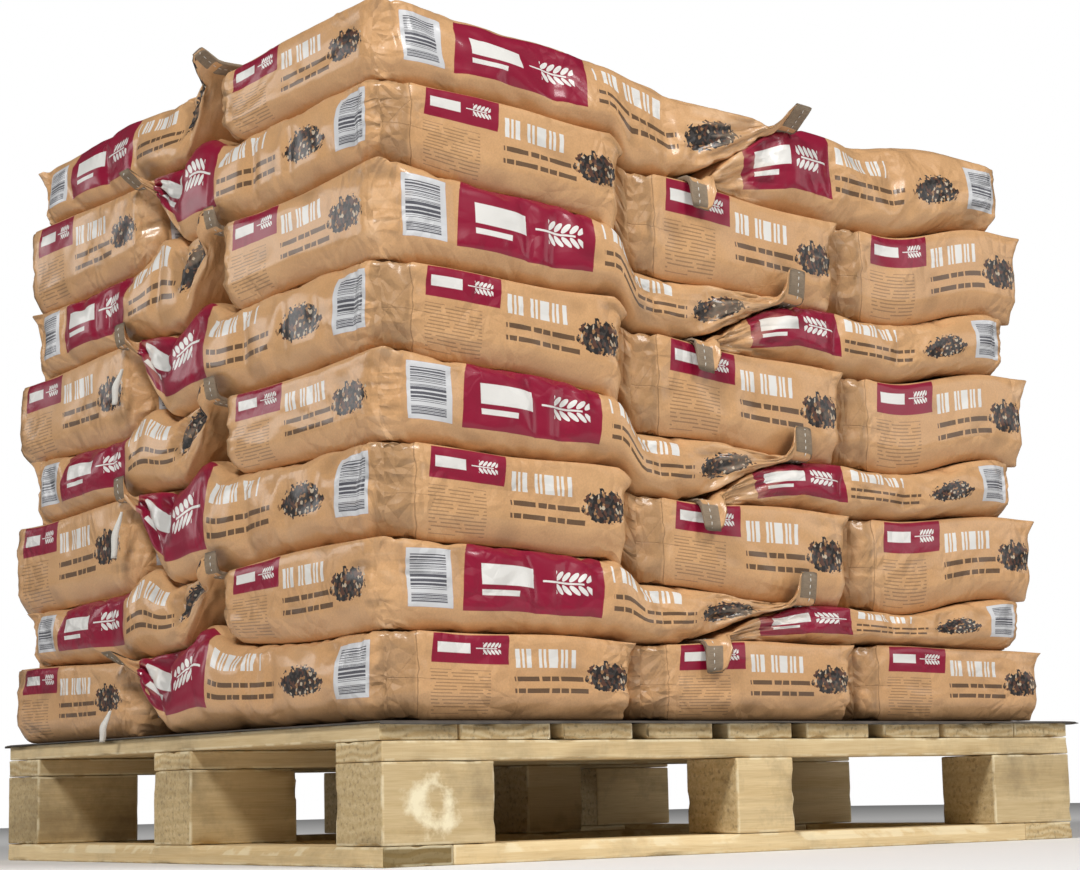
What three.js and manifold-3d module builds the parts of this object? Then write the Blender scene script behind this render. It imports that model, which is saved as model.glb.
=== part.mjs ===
// A pallet load of filled paper sacks: a timber block pallet with a perimeter base, a thin slip
// sheet on its deck, and forty sacks stacked in eight layers of five. Millimetres, +Z up. The
// origin is on the floor under the middle of the pallet. The long side runs along X, and the
// front, where the lowest layer shows three flat sack ends in a row, faces -Y.
import * as THREE from 'three';
import { mergeVertices } from 'three/addons/utils/BufferGeometryUtils.js';
import Module from 'manifold-3d';

// The pallet's outside, and the thickness of each of its levels from the floor up
const PALLET_LENGTH = 1200;
const PALLET_WIDTH = 1000;
const BASE_THICKNESS = 24;
const BLOCK_HEIGHT = 97;
const STRINGER_THICKNESS = 24;
const DECK_THICKNESS = 21;
const SHEET_THICKNESS = 2.5;

// Base boards, stringers and blocks are all cut from stock of one width. The blocks at the two
// ends of a stringer are longer than the one at its middle.
const STOCK_WIDTH = 100;
const END_BLOCK_LENGTH = 162;
const MIDDLE_BLOCK_LENGTH = 100;

// Deck boards from the left end to the right, and the open gap after each one
const DECK_BOARDS = [112, 135, 111, 110, 112, 116, 110, 143, 112];
const DECK_GAPS = [2, 19, 25, 26, 27, 29, 8, 3];
const DECK_SKIN = 2;

// Base boards are chamfered between the blocks, so that a pallet truck's wheels roll over them
const CHAMFER = 12;
const CHAMFER_CLEARANCE = 10;

// Air left between pieces that touch
const FIT = 0.3;
const SACK_FIT = 0.8;

// The slip sheet stands a little proud of the deck, most at the right end
const SHEET_LEFT = -606;
const SHEET_RIGHT = 620;
const SHEET_HALF_WIDTH = 506;

// The load: where its layers start and end. Odd layers reach further than even ones.
const LOAD_LEFT = -592;
const LOAD_FRONT = -492;
const ODD_LAYER_RIGHT = 560;
const EVEN_LAYER_RIGHT = 528;
const LAYER_BACKS = [516, 450, 520, 445, 518, 444, 475, 425];

// Heights of the layers' tops over the pallet's corners: front left, front right, back left and
// back right. Even layers are squeezed thin at the corners away from the front left one.
const LAYER_TOPS = [
  [170, 170, 170, 170],
  [273, 270, 281, 276],
  [389, 340, 356, 341],
  [501, 462, 495, 471],
  [613, 541, 582, 546],
  [727, 670, 708, 681],
  [843, 757, 812, 766],
  [951, 885, 938, 896],
  [1050, 985, 1030, 991],
];

// One sack: a flat folded bottom, a full body, then a wedge down to the flat sewn mouth
const SACK_WIDTH = 385;
const BOTTOM_EDGE = 14;
const FLANGE = 40;
const FLANGE_SHARE = 0.06;
const MOUTH_SHARE = 0.05;
const WEDGE_POWER = 2;

// Three sacks in a row push their mouths against the pair beside them, so their wedges are
// short. The outer mouths lie over the pair's edge. The middle one meets the pair's own mouths
// there and stops short.
const ROW_BODY_SHARE = 0.76;
const MOUTH_LAPS = { left: 22, middle: -FIT, right: 22 };

// The pair's two long wedges lie over each other: how much of the load's length each sack takes
const PAIR_BODY_SHARE = 0.55;
const UPPER_SACK_SHARE = 0.618;
const LOWER_SACK_SHARE = 0.56;

// Half of a sack's cross-section, right side, bottom to top, as shares of half its width and of
// its height: bulging sides, soft edges and a flat back and belly
const SACK_SIDE = [
  [0, 0],
  [0.8, 0],
  [0.965, 0.12],
  [1, 0.38],
  [1, 0.62],
  [0.965, 0.88],
  [0.8, 1],
  [0, 1],
];

const wood = { color: 0xd6b98a, roughness: 0.8, metalness: 0 };
const paper = { color: 0xc99a68, roughness: 0.45, metalness: 0 };
const sheet = { color: 0x4a4743, roughness: 0.6, metalness: 0 };

const wasm = await Module();
wasm.setup();

const load = new THREE.Group();

function addPiece(name, geometry, finish, x, y, z) {
  const mesh = new THREE.Mesh(geometry, new THREE.MeshStandardMaterial(finish));
  mesh.name = name;
  mesh.position.set(x, y, z);
  load.add(mesh);
  return mesh;
}

// Booleans on closed three.js geometries

function toSolid(geometry) {
  const bare = geometry.clone();
  bare.deleteAttribute('normal');
  bare.deleteAttribute('uv');
  const merged = mergeVertices(bare, 1e-4);
  return new wasm.Manifold(new wasm.Mesh({
    numProp: 3,
    vertProperties: new Float32Array(merged.attributes.position.array),
    triVerts: new Uint32Array(merged.index.array),
  }));
}

function toGeometry(solid) {
  const { vertProperties, triVerts } = solid.getMesh();
  const geometry = new THREE.BufferGeometry();
  geometry.setAttribute('position', new THREE.BufferAttribute(vertProperties, 3));
  geometry.setIndex(new THREE.BufferAttribute(triVerts, 1));
  geometry.computeVertexNormals();
  return geometry;
}

function cutAway(geometry, cutters) {
  let solid = toSolid(geometry);
  for (const cutter of cutters) {
    solid = solid.subtract(toSolid(cutter));
  }
  return toGeometry(solid);
}

// The pallet's levels, each resting on the one below

const blockBottom = BASE_THICKNESS + FIT;
const stringerBottom = blockBottom + BLOCK_HEIGHT + FIT;
const deckBottom = stringerBottom + STRINGER_THICKNESS + FIT;
const sheetBottom = deckBottom + DECK_THICKNESS + FIT;

// Blocks and the boards over and under them stand in three rows along X, and in three along Y
const ROWS = [
  { name: 'front', y: -(PALLET_WIDTH - STOCK_WIDTH) / 2 },
  { name: 'middle', y: 0 },
  { name: 'back', y: (PALLET_WIDTH - STOCK_WIDTH) / 2 },
];
const COLUMNS = [
  { name: 'left', x: -(PALLET_LENGTH - END_BLOCK_LENGTH) / 2, length: END_BLOCK_LENGTH },
  { name: 'centre', x: 0, length: MIDDLE_BLOCK_LENGTH },
  { name: 'right', x: (PALLET_LENGTH - END_BLOCK_LENGTH) / 2, length: END_BLOCK_LENGTH },
];

// Wedges that chamfer both top edges of a base board lying along X, one stretch long
function chamferCutters(from, to) {
  const length = to - from - 2 * CHAMFER_CLEARANCE;
  const edge = STOCK_WIDTH / 2;
  const top = BASE_THICKNESS / 2;
  return [-1, 1].map((side) => {
    const corner = new THREE.Shape([
      new THREE.Vector2(side * (edge - CHAMFER), top),
      new THREE.Vector2(side * edge, top - CHAMFER),
      new THREE.Vector2(side * (edge + CHAMFER), top - CHAMFER),
      new THREE.Vector2(side * (edge + CHAMFER), top + CHAMFER),
      new THREE.Vector2(side * (edge - CHAMFER), top + CHAMFER),
    ]);
    const wedge = new THREE.ExtrudeGeometry(corner, { depth: length, bevelEnabled: false });
    wedge.rotateX(Math.PI / 2);
    wedge.rotateZ(Math.PI / 2);
    wedge.translate(from + CHAMFER_CLEARANCE, 0, 0);
    return wedge;
  });
}

function baseBoard(length, openings) {
  const board = new THREE.BoxGeometry(length, STOCK_WIDTH, BASE_THICKNESS);
  return cutAway(board, openings.flatMap(([from, to]) => chamferCutters(from, to)));
}

function addBaseBoards() {
  const z = BASE_THICKNESS / 2;
  const crossOpening = [MIDDLE_BLOCK_LENGTH / 2, PALLET_LENGTH / 2 - END_BLOCK_LENGTH];
  const sideOpening = [STOCK_WIDTH / 2, PALLET_WIDTH / 2 - STOCK_WIDTH];
  const bothWays = ([from, to]) => [[from, to], [-to, -from]];
  const sideX = (PALLET_LENGTH - STOCK_WIDTH) / 2;
  for (const [name, x] of [['base_board_left', -sideX], ['base_board_right', sideX]]) {
    const board = addPiece(name, baseBoard(PALLET_WIDTH, bothWays(sideOpening)), wood, x, 0, z);
    board.rotation.z = Math.PI / 2;
  }
  const crossLength = PALLET_LENGTH - 2 * STOCK_WIDTH - 2 * FIT;
  for (const row of ROWS) {
    const geometry = baseBoard(crossLength, bothWays(crossOpening));
    addPiece(`base_board_${row.name}`, geometry, wood, 0, row.y, z);
  }
}

function addBlocksAndStringers() {
  for (const row of ROWS) {
    for (const column of COLUMNS) {
      const block = new THREE.BoxGeometry(column.length, STOCK_WIDTH, BLOCK_HEIGHT);
      const name = `block_${row.name}_${column.name}`;
      addPiece(name, block, wood, column.x, row.y, blockBottom + BLOCK_HEIGHT / 2);
    }
    const stringer = new THREE.BoxGeometry(PALLET_LENGTH, STOCK_WIDTH, STRINGER_THICKNESS);
    const z = stringerBottom + STRINGER_THICKNESS / 2;
    addPiece(`stringer_${row.name}`, stringer, wood, 0, row.y, z);
  }
}

// The nine deck boards are one solid: the gaps are cut up into it from below, and a thin skin
// under the slip sheet holds the boards together
function addDeck() {
  const panel = new THREE.BoxGeometry(PALLET_LENGTH, PALLET_WIDTH, DECK_THICKNESS);
  const cutters = [];
  let x = -PALLET_LENGTH / 2;
  DECK_GAPS.forEach((gap, i) => {
    x += DECK_BOARDS[i];
    const cutter = new THREE.BoxGeometry(gap, PALLET_WIDTH + 2, DECK_THICKNESS);
    cutter.translate(x + gap / 2, 0, -DECK_SKIN);
    cutters.push(cutter);
    x += gap;
  });
  addPiece('deck_boards', cutAway(panel, cutters), wood, 0, 0, deckBottom + DECK_THICKNESS / 2);
}

function addSlipSheet() {
  const length = SHEET_RIGHT - SHEET_LEFT;
  const geometry = new THREE.BoxGeometry(length, 2 * SHEET_HALF_WIDTH, SHEET_THICKNESS);
  const x = (SHEET_LEFT + SHEET_RIGHT) / 2;
  addPiece('slip_sheet', geometry, sheet, x, 0, sheetBottom + SHEET_THICKNESS / 2);
}

// Height of the top of a layer at a place on the pallet, straight between the corners
function layerTop(layer, x, y) {
  const [frontLeft, frontRight, backLeft, backRight] = LAYER_TOPS[layer];
  const s = x / PALLET_LENGTH + 0.5;
  const t = y / PALLET_WIDTH + 0.5;
  return THREE.MathUtils.lerp(
    THREE.MathUtils.lerp(frontLeft, frontRight, s),
    THREE.MathUtils.lerp(backLeft, backRight, s),
    t,
  );
}

function sackSection() {
  const left = SACK_SIDE.slice(1, -1).reverse().map(([a, b]) => [-a, b]);
  const outline = [...SACK_SIDE, ...left];
  return new THREE.Shape(outline.map(([a, b]) => new THREE.Vector2(a, b)));
}

// Rings from the flat bottom to the mouth: the distance along the sack, the share of the full
// width, and the sack's underside and thickness as shares of the layer's height
function sackRings(length, bodyShare, mouth) {
  const body = length * bodyShare;
  const wedge = length - FLANGE - body;
  const ring = (at, thick) => ({ at, width: 1, low: mouth === 'up' ? 1 - thick : 0, thick });
  const wedgeRing = (t) => ring(body + t * wedge, 1 - (1 - FLANGE_SHARE) * t ** WEDGE_POWER);
  return [
    { at: 0, width: 0.94, low: 0.11, thick: 0.78 },
    ring(BOTTOM_EDGE, 1),
    ring(body / 2, 1),
    wedgeRing(0),
    wedgeRing(0.4),
    wedgeRing(0.72),
    wedgeRing(1),
    ring(length, MOUTH_SHARE),
  ];
}

// A sack lying in a layer. Its bottom's middle is at x, y, and yaw turns its length from +X.
// The wedge narrows to the layer's top (mouth 'up') or to its underside (mouth 'down').
function addSack({ name, layer, x, y, yaw, length, width, bodyShare, mouth }) {
  const rings = sackRings(length, bodyShare, mouth);
  const steps = rings.length - 1;
  const geometry = new THREE.ExtrudeGeometry(sackSection(), {
    depth: steps,
    steps,
    bevelEnabled: false,
  });
  const position = geometry.attributes.position;
  const cos = Math.cos(yaw);
  const sin = Math.sin(yaw);
  for (let i = 0; i < position.count; i += 1) {
    const ring = rings[Math.round(position.getZ(i))];
    const across = position.getX(i) * ring.width * (width - SACK_FIT) / 2;
    const worldX = x + cos * ring.at - sin * across;
    const worldY = y + sin * ring.at + cos * across;
    const bottom = layerTop(layer - 1, worldX, worldY) + SACK_FIT / 2;
    const top = layerTop(layer, worldX, worldY) - SACK_FIT / 2;
    const share = ring.low + ring.thick * position.getY(i);
    position.setXYZ(i, ring.at, across, bottom + share * (top - bottom));
  }
  geometry.computeVertexNormals();
  const mesh = addPiece(name, geometry, paper, x, y, 0);
  mesh.rotation.z = yaw;
}

// Odd layers: three sacks side by side with their flat bottoms to the front, and behind them
// two end to end with their bottoms to the left and to the right
function addOddLayer(layer) {
  const back = LAYER_BACKS[layer - 1];
  const width = (ODD_LAYER_RIGHT - LOAD_LEFT) / 3;
  const pairFront = back - SACK_WIDTH;
  Object.entries(MOUTH_LAPS).forEach(([place, lap], i) => {
    addSack({
      name: `sack_${layer}_front_${place}`,
      layer,
      x: LOAD_LEFT + (i + 0.5) * width,
      y: LOAD_FRONT,
      yaw: Math.PI / 2,
      length: pairFront + lap - LOAD_FRONT,
      width,
      bodyShare: ROW_BODY_SHARE,
      mouth: 'up',
    });
  });
  addSackPair(layer, 'back', back - SACK_WIDTH / 2, ODD_LAYER_RIGHT);
}

// Even layers: the pair end to end is at the front, and the three lie behind it
function addEvenLayer(layer) {
  const back = LAYER_BACKS[layer - 1];
  const width = (EVEN_LAYER_RIGHT - LOAD_LEFT) / 3;
  const pairBack = LOAD_FRONT + SACK_WIDTH;
  addSackPair(layer, 'front', LOAD_FRONT + SACK_WIDTH / 2, EVEN_LAYER_RIGHT);
  Object.entries(MOUTH_LAPS).forEach(([place, lap], i) => {
    addSack({
      name: `sack_${layer}_back_${place}`,
      layer,
      x: LOAD_LEFT + (i + 0.5) * width,
      y: back,
      yaw: -Math.PI / 2,
      length: back - (pairBack - lap),
      width,
      bodyShare: ROW_BODY_SHARE,
      mouth: 'up',
    });
  });
}

// Two sacks end to end along X. The left one's mouth lies on the right one's wedge.
function addSackPair(layer, row, y, right) {
  const reach = right - LOAD_LEFT;
  addSack({
    name: `sack_${layer}_${row}_left`,
    layer,
    x: LOAD_LEFT,
    y,
    yaw: 0,
    length: reach * UPPER_SACK_SHARE,
    width: SACK_WIDTH,
    bodyShare: PAIR_BODY_SHARE,
    mouth: 'up',
  });
  addSack({
    name: `sack_${layer}_${row}_right`,
    layer,
    x: right,
    y,
    yaw: Math.PI,
    length: reach * LOWER_SACK_SHARE,
    width: SACK_WIDTH,
    bodyShare: PAIR_BODY_SHARE,
    mouth: 'down',
  });
}

addBaseBoards();
addBlocksAndStringers();
addDeck();
addSlipSheet();
for (let layer = 1; layer < LAYER_TOPS.length; layer += 1) {
  if (layer % 2 === 1) {
    addOddLayer(layer);
  } else {
    addEvenLayer(layer);
  }
}

export default load;
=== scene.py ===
import functools
import math
import bpy
import numpy as np
from mathutils import Matrix, Vector, noise


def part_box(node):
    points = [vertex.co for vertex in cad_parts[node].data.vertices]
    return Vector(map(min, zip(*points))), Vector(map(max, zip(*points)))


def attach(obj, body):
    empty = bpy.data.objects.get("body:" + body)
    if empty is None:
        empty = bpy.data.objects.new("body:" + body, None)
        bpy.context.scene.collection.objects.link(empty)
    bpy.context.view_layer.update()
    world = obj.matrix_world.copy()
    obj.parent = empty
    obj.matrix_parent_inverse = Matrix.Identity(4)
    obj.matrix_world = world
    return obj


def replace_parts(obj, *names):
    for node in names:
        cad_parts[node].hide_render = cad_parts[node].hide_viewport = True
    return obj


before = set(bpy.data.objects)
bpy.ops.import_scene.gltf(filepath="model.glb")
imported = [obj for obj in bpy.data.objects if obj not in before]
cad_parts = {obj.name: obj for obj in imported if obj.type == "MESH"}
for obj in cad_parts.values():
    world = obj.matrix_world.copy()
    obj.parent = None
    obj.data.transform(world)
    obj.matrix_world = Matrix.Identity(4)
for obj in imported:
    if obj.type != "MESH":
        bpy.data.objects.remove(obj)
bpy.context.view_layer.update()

# Base boards
# Five sawn softwood boards lie on the floor. Their top edges are chamfered between the blocks, so
# that a pallet truck's wheels roll over them, and they are nailed to the blocks from below.

CHAMFER = 0.012
CHAMFER_CLEARANCE = 0.010
END_BLOCK = 0.162
MIDDLE_BLOCK = 0.100
STOCK_WIDTH = 0.100
NEAR_END_STAIN = 1.0
SAWN_ROUND = 0.0016
EDGE_WIDTH = 0.004
CHIP_WIDTH = 0.003
CHIP_DEPTH = 0.0035
FACE_WAVE = 0.0005
GRAIN_GRID, CROSS_GRID, EDGE_GRID = 0.016, 0.012, 0.002
CHIPS_PER_METRE_ALONG, CHIPS_PER_METRE_ACROSS = 14.0, 60.0
SCUFF_RADIUS = 0.024

wood_random = np.random.default_rng(41)


def grid_lines(length, edge, fine, coarse):
    """Places from 0 to length, closely spaced within edge of both ends."""
    if length <= 2 * edge + coarse:
        return np.linspace(0, length, max(3, round(length / fine) + 1))
    near = np.linspace(0, edge, max(2, round(edge / fine) + 1))
    middle = np.linspace(edge, length - edge, max(2, round((length - 2 * edge) / coarse) + 1))
    return np.concatenate([near, middle[1:-1], length - near[::-1]])


def box_skin(lines):
    """The closed skin of a box with these grid lines along its three axes. Gives each skin point's
    number on every axis, its places along them, the four corners of each face, and each face's side:
    0 and 1 across the first axis, then 2 to 5."""
    counts = [len(line) for line in lines]
    quads, sides = [], []
    for axis in range(3):
        first, second = (axis + 1) % 3, (axis + 2) % 3
        u, v = np.meshgrid(np.arange(counts[first] - 1), np.arange(counts[second] - 1), indexing="ij")
        for end in (0, 1):
            corners = []
            for du, dv in [(0, 0), (1, 0), (1, 1), (0, 1)] if end else [(0, 0), (0, 1), (1, 1), (1, 0)]:
                place = [None] * 3
                place[axis] = np.full(u.size, end * (counts[axis] - 1))
                place[first] = (u + du).ravel()
                place[second] = (v + dv).ravel()
                corners.append(np.ravel_multi_index(place, counts))
            quads.append(np.stack(corners, 1))
            sides.append(np.full(u.size, 2 * axis + end))
    flat, corners = np.unique(np.concatenate(quads), return_inverse=True)
    numbers = np.unravel_index(flat, counts)
    places = [line[number] for line, number in zip(lines, numbers)]
    return np.stack(numbers, 1), places, corners.reshape(-1, 4), np.concatenate(sides)


def value_noise(points, seed):
    """Smooth noise from -1 to 1 at each point."""
    shift = Vector((seed * 7.31, seed * 3.17, seed * 5.53))
    return np.array([noise.noise(Vector(p) + shift) for p in points])


def new_mesh(name, points, faces):
    mesh = bpy.data.meshes.new(name)
    mesh.from_pydata(points.tolist(), [], [list(map(int, f)) for f in faces])
    mesh.shade_smooth()
    return mesh


def new_piece(name, mesh, material):
    """A finished piece at the origin that rides with the pallet."""
    piece = bpy.data.objects.new(name, mesh)
    bpy.context.scene.collection.objects.link(piece)
    mesh.materials.append(material)
    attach(piece, "root")
    return piece


def write_uv(mesh, name, values):
    layer = mesh.uv_layers.new(name=name)
    layer.uv.foreach_set("vector", np.asarray(values, dtype=np.float32).ravel())


def write_values(mesh, name, domain, values):
    layer = mesh.attributes.new(name, "FLOAT", domain)
    layer.data.foreach_set("value", np.asarray(values, dtype=np.float32))


def sawn_timber(name, low, high, grain, chamfers=(), stain=0.0):
    """A sawn piece between two corners, with soft edges, small chips and its grain along x or y.
    chamfers lists the stretches along the grain where both top edges are cut off, and stain says how
    dark the near end is."""
    low, high = np.array(low), np.array(high)
    half = (high - low) / 2
    across = 1 - grain
    lines = []
    for axis in range(3):
        edge = EDGE_WIDTH + CHAMFER if chamfers and axis != grain else EDGE_WIDTH
        coarse = GRAIN_GRID if axis == grain else CROSS_GRID
        lines.append(grid_lines((high - low)[axis], edge, EDGE_GRID, coarse))
    _, places, quads, sides = box_skin(lines)
    points = np.stack(places, 1) - half
    cut_off = np.zeros(len(points))
    for start, end in chamfers:
        along = points[:, grain]
        inside = (along > start - half[grain]) & (along < end - half[grain])
        reach = np.abs(points[:, across]) + points[:, 2] - (half[across] + half[2] - CHAMFER)
        cut = np.where(inside & (reach > 0), reach / 2, 0)
        points[:, across] -= np.sign(points[:, across]) * cut
        points[:, 2] -= cut
        cut_off += cut
    worn = ((np.abs(points) > half - EDGE_WIDTH).sum(1) >= 2) | (cut_off > 0)
    core = np.clip(points, -(half - SAWN_ROUND), half - SAWN_ROUND)
    out = points - core
    length = np.linalg.norm(out, axis=1, keepdims=True)
    points = core + out / np.maximum(length, 1e-9) * np.minimum(length, SAWN_ROUND)
    stretch = np.full(3, CHIPS_PER_METRE_ACROSS)
    stretch[grain] = CHIPS_PER_METRE_ALONG
    rough = value_noise(points * stretch, float(wood_random.uniform(0, 90)))
    edges = (np.abs(points) > half - CHIP_WIDTH).sum(1) >= 2
    chip = np.where(edges, np.maximum(rough - 0.25, 0) * CHIP_DEPTH / 0.5, 0)
    outer = np.sign(points) * (np.abs(points) > half - EDGE_WIDTH)
    points += low + half - outer * (chip + FACE_WAVE * (1 + rough) / 2)[:, None]
    mesh = new_mesh(name, points, quads)
    spots = points[quads.ravel()] - low
    corner_sides = np.repeat(sides // 2, 4)
    on_end = corner_sides == grain
    run = np.where(on_end, spots[:, across], spots[:, grain])
    rise = np.where(on_end | (corner_sides == across), spots[:, 2], spots[:, across] + 0.2)
    write_uv(mesh, "grain", np.stack([run, rise], 1) + wood_random.uniform(0, 30, 2))
    write_values(mesh, "end_grain", "FACE", sides // 2 == grain)
    write_values(mesh, "tone", "FACE", np.full(len(quads), wood_random.uniform(0, 1)))
    write_values(mesh, "worn", "POINT", worn)
    write_values(mesh, "stain", "FACE", (sides == 2 * grain) * stain)
    return mesh


class Nodes:
    """Short ways to add nodes to one tree. Apart from add, each gives the new node's result."""

    def __init__(self, tree):
        self.tree = tree

    def add(self, kind, inputs=None, **settings):
        """A new node with its settings, and with each input given a value or linked to a socket."""
        made = self.tree.nodes.new(kind)
        for key, value in settings.items():
            setattr(made, key, value)
        for key, value in (inputs or {}).items():
            if isinstance(value, bpy.types.NodeSocket):
                self.tree.links.new(value, made.inputs[key])
            else:
                made.inputs[key].default_value = value
        return made

    def maths(self, operation, first, *others):
        """The result of an operation, which takes in further values one after the other."""
        for other in others or (0.0,):
            first = self.add("ShaderNodeMath", {0: first, 1: other}, operation=operation).outputs[0]
        return first

    def vector(self, operation, first, second=(0, 0, 0)):
        return self.add("ShaderNodeVectorMath", {0: first, 1: second}, operation=operation).outputs[0]

    def joined(self, *parts):
        return self.add("ShaderNodeCombineXYZ", dict(enumerate(parts))).outputs[0]

    def parts(self, place):
        return self.add("ShaderNodeSeparateXYZ", {0: place}).outputs

    def noise(self, place, scale, detail=2.0, output="Fac", dimensions="3D", **inputs):
        given = {"Vector": place, "Scale": scale, "Detail": detail, **inputs}
        return self.add("ShaderNodeTexNoise", given, noise_dimensions=dimensions).outputs[output]

    def ranged(self, value, low=0.0, high=1.0, to_low=0.0, to_high=1.0):
        limits = {"From Min": low, "From Max": high, "To Min": to_low, "To Max": to_high}
        return self.add("ShaderNodeMapRange", {"Value": value, **limits}).outputs[0]

    def between(self, share, first, second):
        return self.add("ShaderNodeMix", {"Factor": share, 2: first, 3: second}).outputs[0]

    def mixed(self, share, under, over, blend="MIX"):
        colours = {"Factor": share, 6: under, 7: over}
        return self.add("ShaderNodeMix", colours, data_type="RGBA", blend_type=blend).outputs[2]

    def attribute(self, name):
        return self.add("ShaderNodeAttribute", attribute_name=name).outputs["Fac"]

    def uv(self, name):
        return self.add("ShaderNodeUVMap", uv_map=name).outputs[0]

    def place(self):
        return self.add("ShaderNodeTexCoord").outputs["Object"]

    def scaled(self, place, scale):
        return self.add("ShaderNodeMapping", {"Vector": place, "Scale": scale}).outputs[0]

    def bump(self, height, strength, distance, **inputs):
        given = {"Height": height, "Strength": strength, "Distance": distance, **inputs}
        return self.add("ShaderNodeBump", given).outputs[0]


def add_sockets(tree, in_out, sockets):
    for label, kind in sockets.items():
        tree.interface.new_socket(label, in_out=in_out, socket_type=f"NodeSocket{kind}")


def pattern_group(name, inputs, outputs, build):
    """A node group with these sockets. build adds its nodes and gives a socket for each output."""
    group = bpy.data.node_groups.new(name, "ShaderNodeTree")
    add_sockets(group, "INPUT", inputs)
    add_sockets(group, "OUTPUT", outputs)
    given = group.nodes.new("NodeGroupInput").outputs
    made = group.nodes.new("NodeGroupOutput").inputs
    for label, socket in build(Nodes(group), given).items():
        group.links.new(socket, made[label])
    return group


def made_of(name, pattern, **fixed):
    """A material. pattern adds its nodes and gives the shader's sockets that vary over the surface,
    and the fixed values are the same all over."""
    material = bpy.data.materials.new(name)
    material.use_nodes = True
    shader = material.node_tree.nodes["Principled BSDF"]
    for label, socket in pattern(Nodes(material.node_tree)).items():
        material.node_tree.links.new(socket, shader.inputs[label])
    for label, value in fixed.items():
        shader.inputs[label.replace("_", " ")].default_value = value
    return material


def wood_pattern(nodes, given):
    """Sawn softwood. Long growth lines and fine fibres along the grain, rings and pores on the ends,
    grey dirt in patches, pale edges where they are rubbed, and a ragged pale ring at the scuff."""
    maths, ranged, mixed = nodes.maths, nodes.ranged, nodes.mixed
    uv, place = nodes.uv("grain"), nodes.place()
    end, tone, worn, stain = (nodes.attribute(name) for name in ("end_grain", "tone", "worn", "stain"))

    def stretched(along, across, detail, **inputs):
        return nodes.noise(nodes.scaled(uv, (along, across, 1)), 1.0, detail, **inputs)

    growth = stretched(1.6, 46, 5.0, Roughness=0.65, Distortion=0.5)
    fibre = stretched(26, 620, 3.0)
    streaks = stretched(1.1, 13, 4.0, Roughness=0.7)
    bent = nodes.vector("MULTIPLY", nodes.noise(uv, 9.0, output="Color"), (0.05, 0.05, 0.05))
    bent = nodes.vector("ADD", uv, bent)
    ringed = {"Vector": bent, "Scale": given["Rings"], "Distortion": 1.5, "Detail": 2.0}
    rings = nodes.add("ShaderNodeTexWave", ringed, wave_type="RINGS").outputs["Fac"]
    pores = nodes.noise(uv, 190.0, 4.0, Roughness=0.7)
    ends = nodes.between(maths("MAXIMUM", given["Ringed"], stain), pores, rings)
    grain = nodes.between(end, nodes.between(0.35, growth, fibre), ends)
    colour = mixed(ranged(grain, 0.34, 0.66), given["Dark"], given["Pale"])
    colour = mixed(1.0, colour, ranged(tone, to_low=0.84, to_high=1.06), "MULTIPLY")
    soiled = maths("MULTIPLY", ranged(streaks, 0.5, 0.68), given["Dirt"])
    colour = mixed(soiled, colour, (0.34, 0.24, 0.12, 1))
    patches = nodes.noise(place, 9.0, 6.0, Roughness=0.7)
    grime = maths("MULTIPLY", ranged(patches, 0.5, 0.72), given["Dirt"])
    colour = mixed(grime, colour, (0.15, 0.11, 0.065, 1))
    speckled = maths("MULTIPLY", ranged(nodes.noise(place, 170.0), 0.55, 0.7, to_high=0.55), end)
    colour = mixed(speckled, colour, (0.2, 0.14, 0.08, 1))
    colour = mixed(maths("MULTIPLY", end, 0.22), colour, (0.24, 0.17, 0.07, 1))
    colour = mixed(maths("MULTIPLY", stain, 0.75), colour, (0.13, 0.085, 0.02, 1))
    rubs = nodes.noise(place, 26.0, 4.0)
    rubbed = maths("MULTIPLY", ranged(rubs, 0.47, 0.55, to_high=0.42), worn)
    away = nodes.add("ShaderNodeVectorMath", {0: place, 1: given["Scuff Place"]}, operation="DISTANCE")
    off_ring = maths("ABSOLUTE", maths("SUBTRACT", away.outputs["Value"], SCUFF_RADIUS))
    uneven = maths("SUBTRACT", maths("MULTIPLY", patches, 3.4), maths("MULTIPLY", rubs, 1.2))
    ragged = maths("ADD", maths("MULTIPLY", off_ring, 28.0), uneven)
    scuffed = maths("MULTIPLY", maths("SUBTRACT", 1.0, ranged(ragged, 1.0, 1.5)), 0.9)
    colour = mixed(maths("MAXIMUM", rubbed, scuffed), colour, (0.97, 0.88, 0.63, 1))
    return {"Color": colour, "Roughness": ranged(fibre, to_low=0.68, to_high=0.9),
            "Height": nodes.between(0.3, grain, stretched(420, 18, 2.0))}


softwood = pattern_group(
    "sawn softwood", {"Pale": "Color", "Dark": "Color", "Rings": "Float", "Ringed": "Float", "Dirt": "Float",
                      "Scuff Place": "Vector"},
    {"Color": "Color", "Roughness": "Float", "Height": "Float"}, wood_pattern)


def wood_material(name, values):
    """Softwood with these values for the pattern's own inputs."""
    def pattern(nodes):
        wood = nodes.add("ShaderNodeGroup", node_tree=softwood)
        for label, value in values.items():
            wood.inputs[label].default_value = value
        return {"Base Color": wood.outputs["Color"], "Roughness": wood.outputs["Roughness"],
                "Normal": nodes.bump(wood.outputs["Height"], 0.5, 0.0012)}
    return made_of(name, pattern, Specular_IOR_Level=0.3)


def replace_timber(node, name, grain, material, slot, **extras):
    """A sawn piece in the place of a CAD node."""
    low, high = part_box(node)
    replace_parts(new_piece(name, sawn_timber(name, low, high, grain, **extras), material), node)


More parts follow.
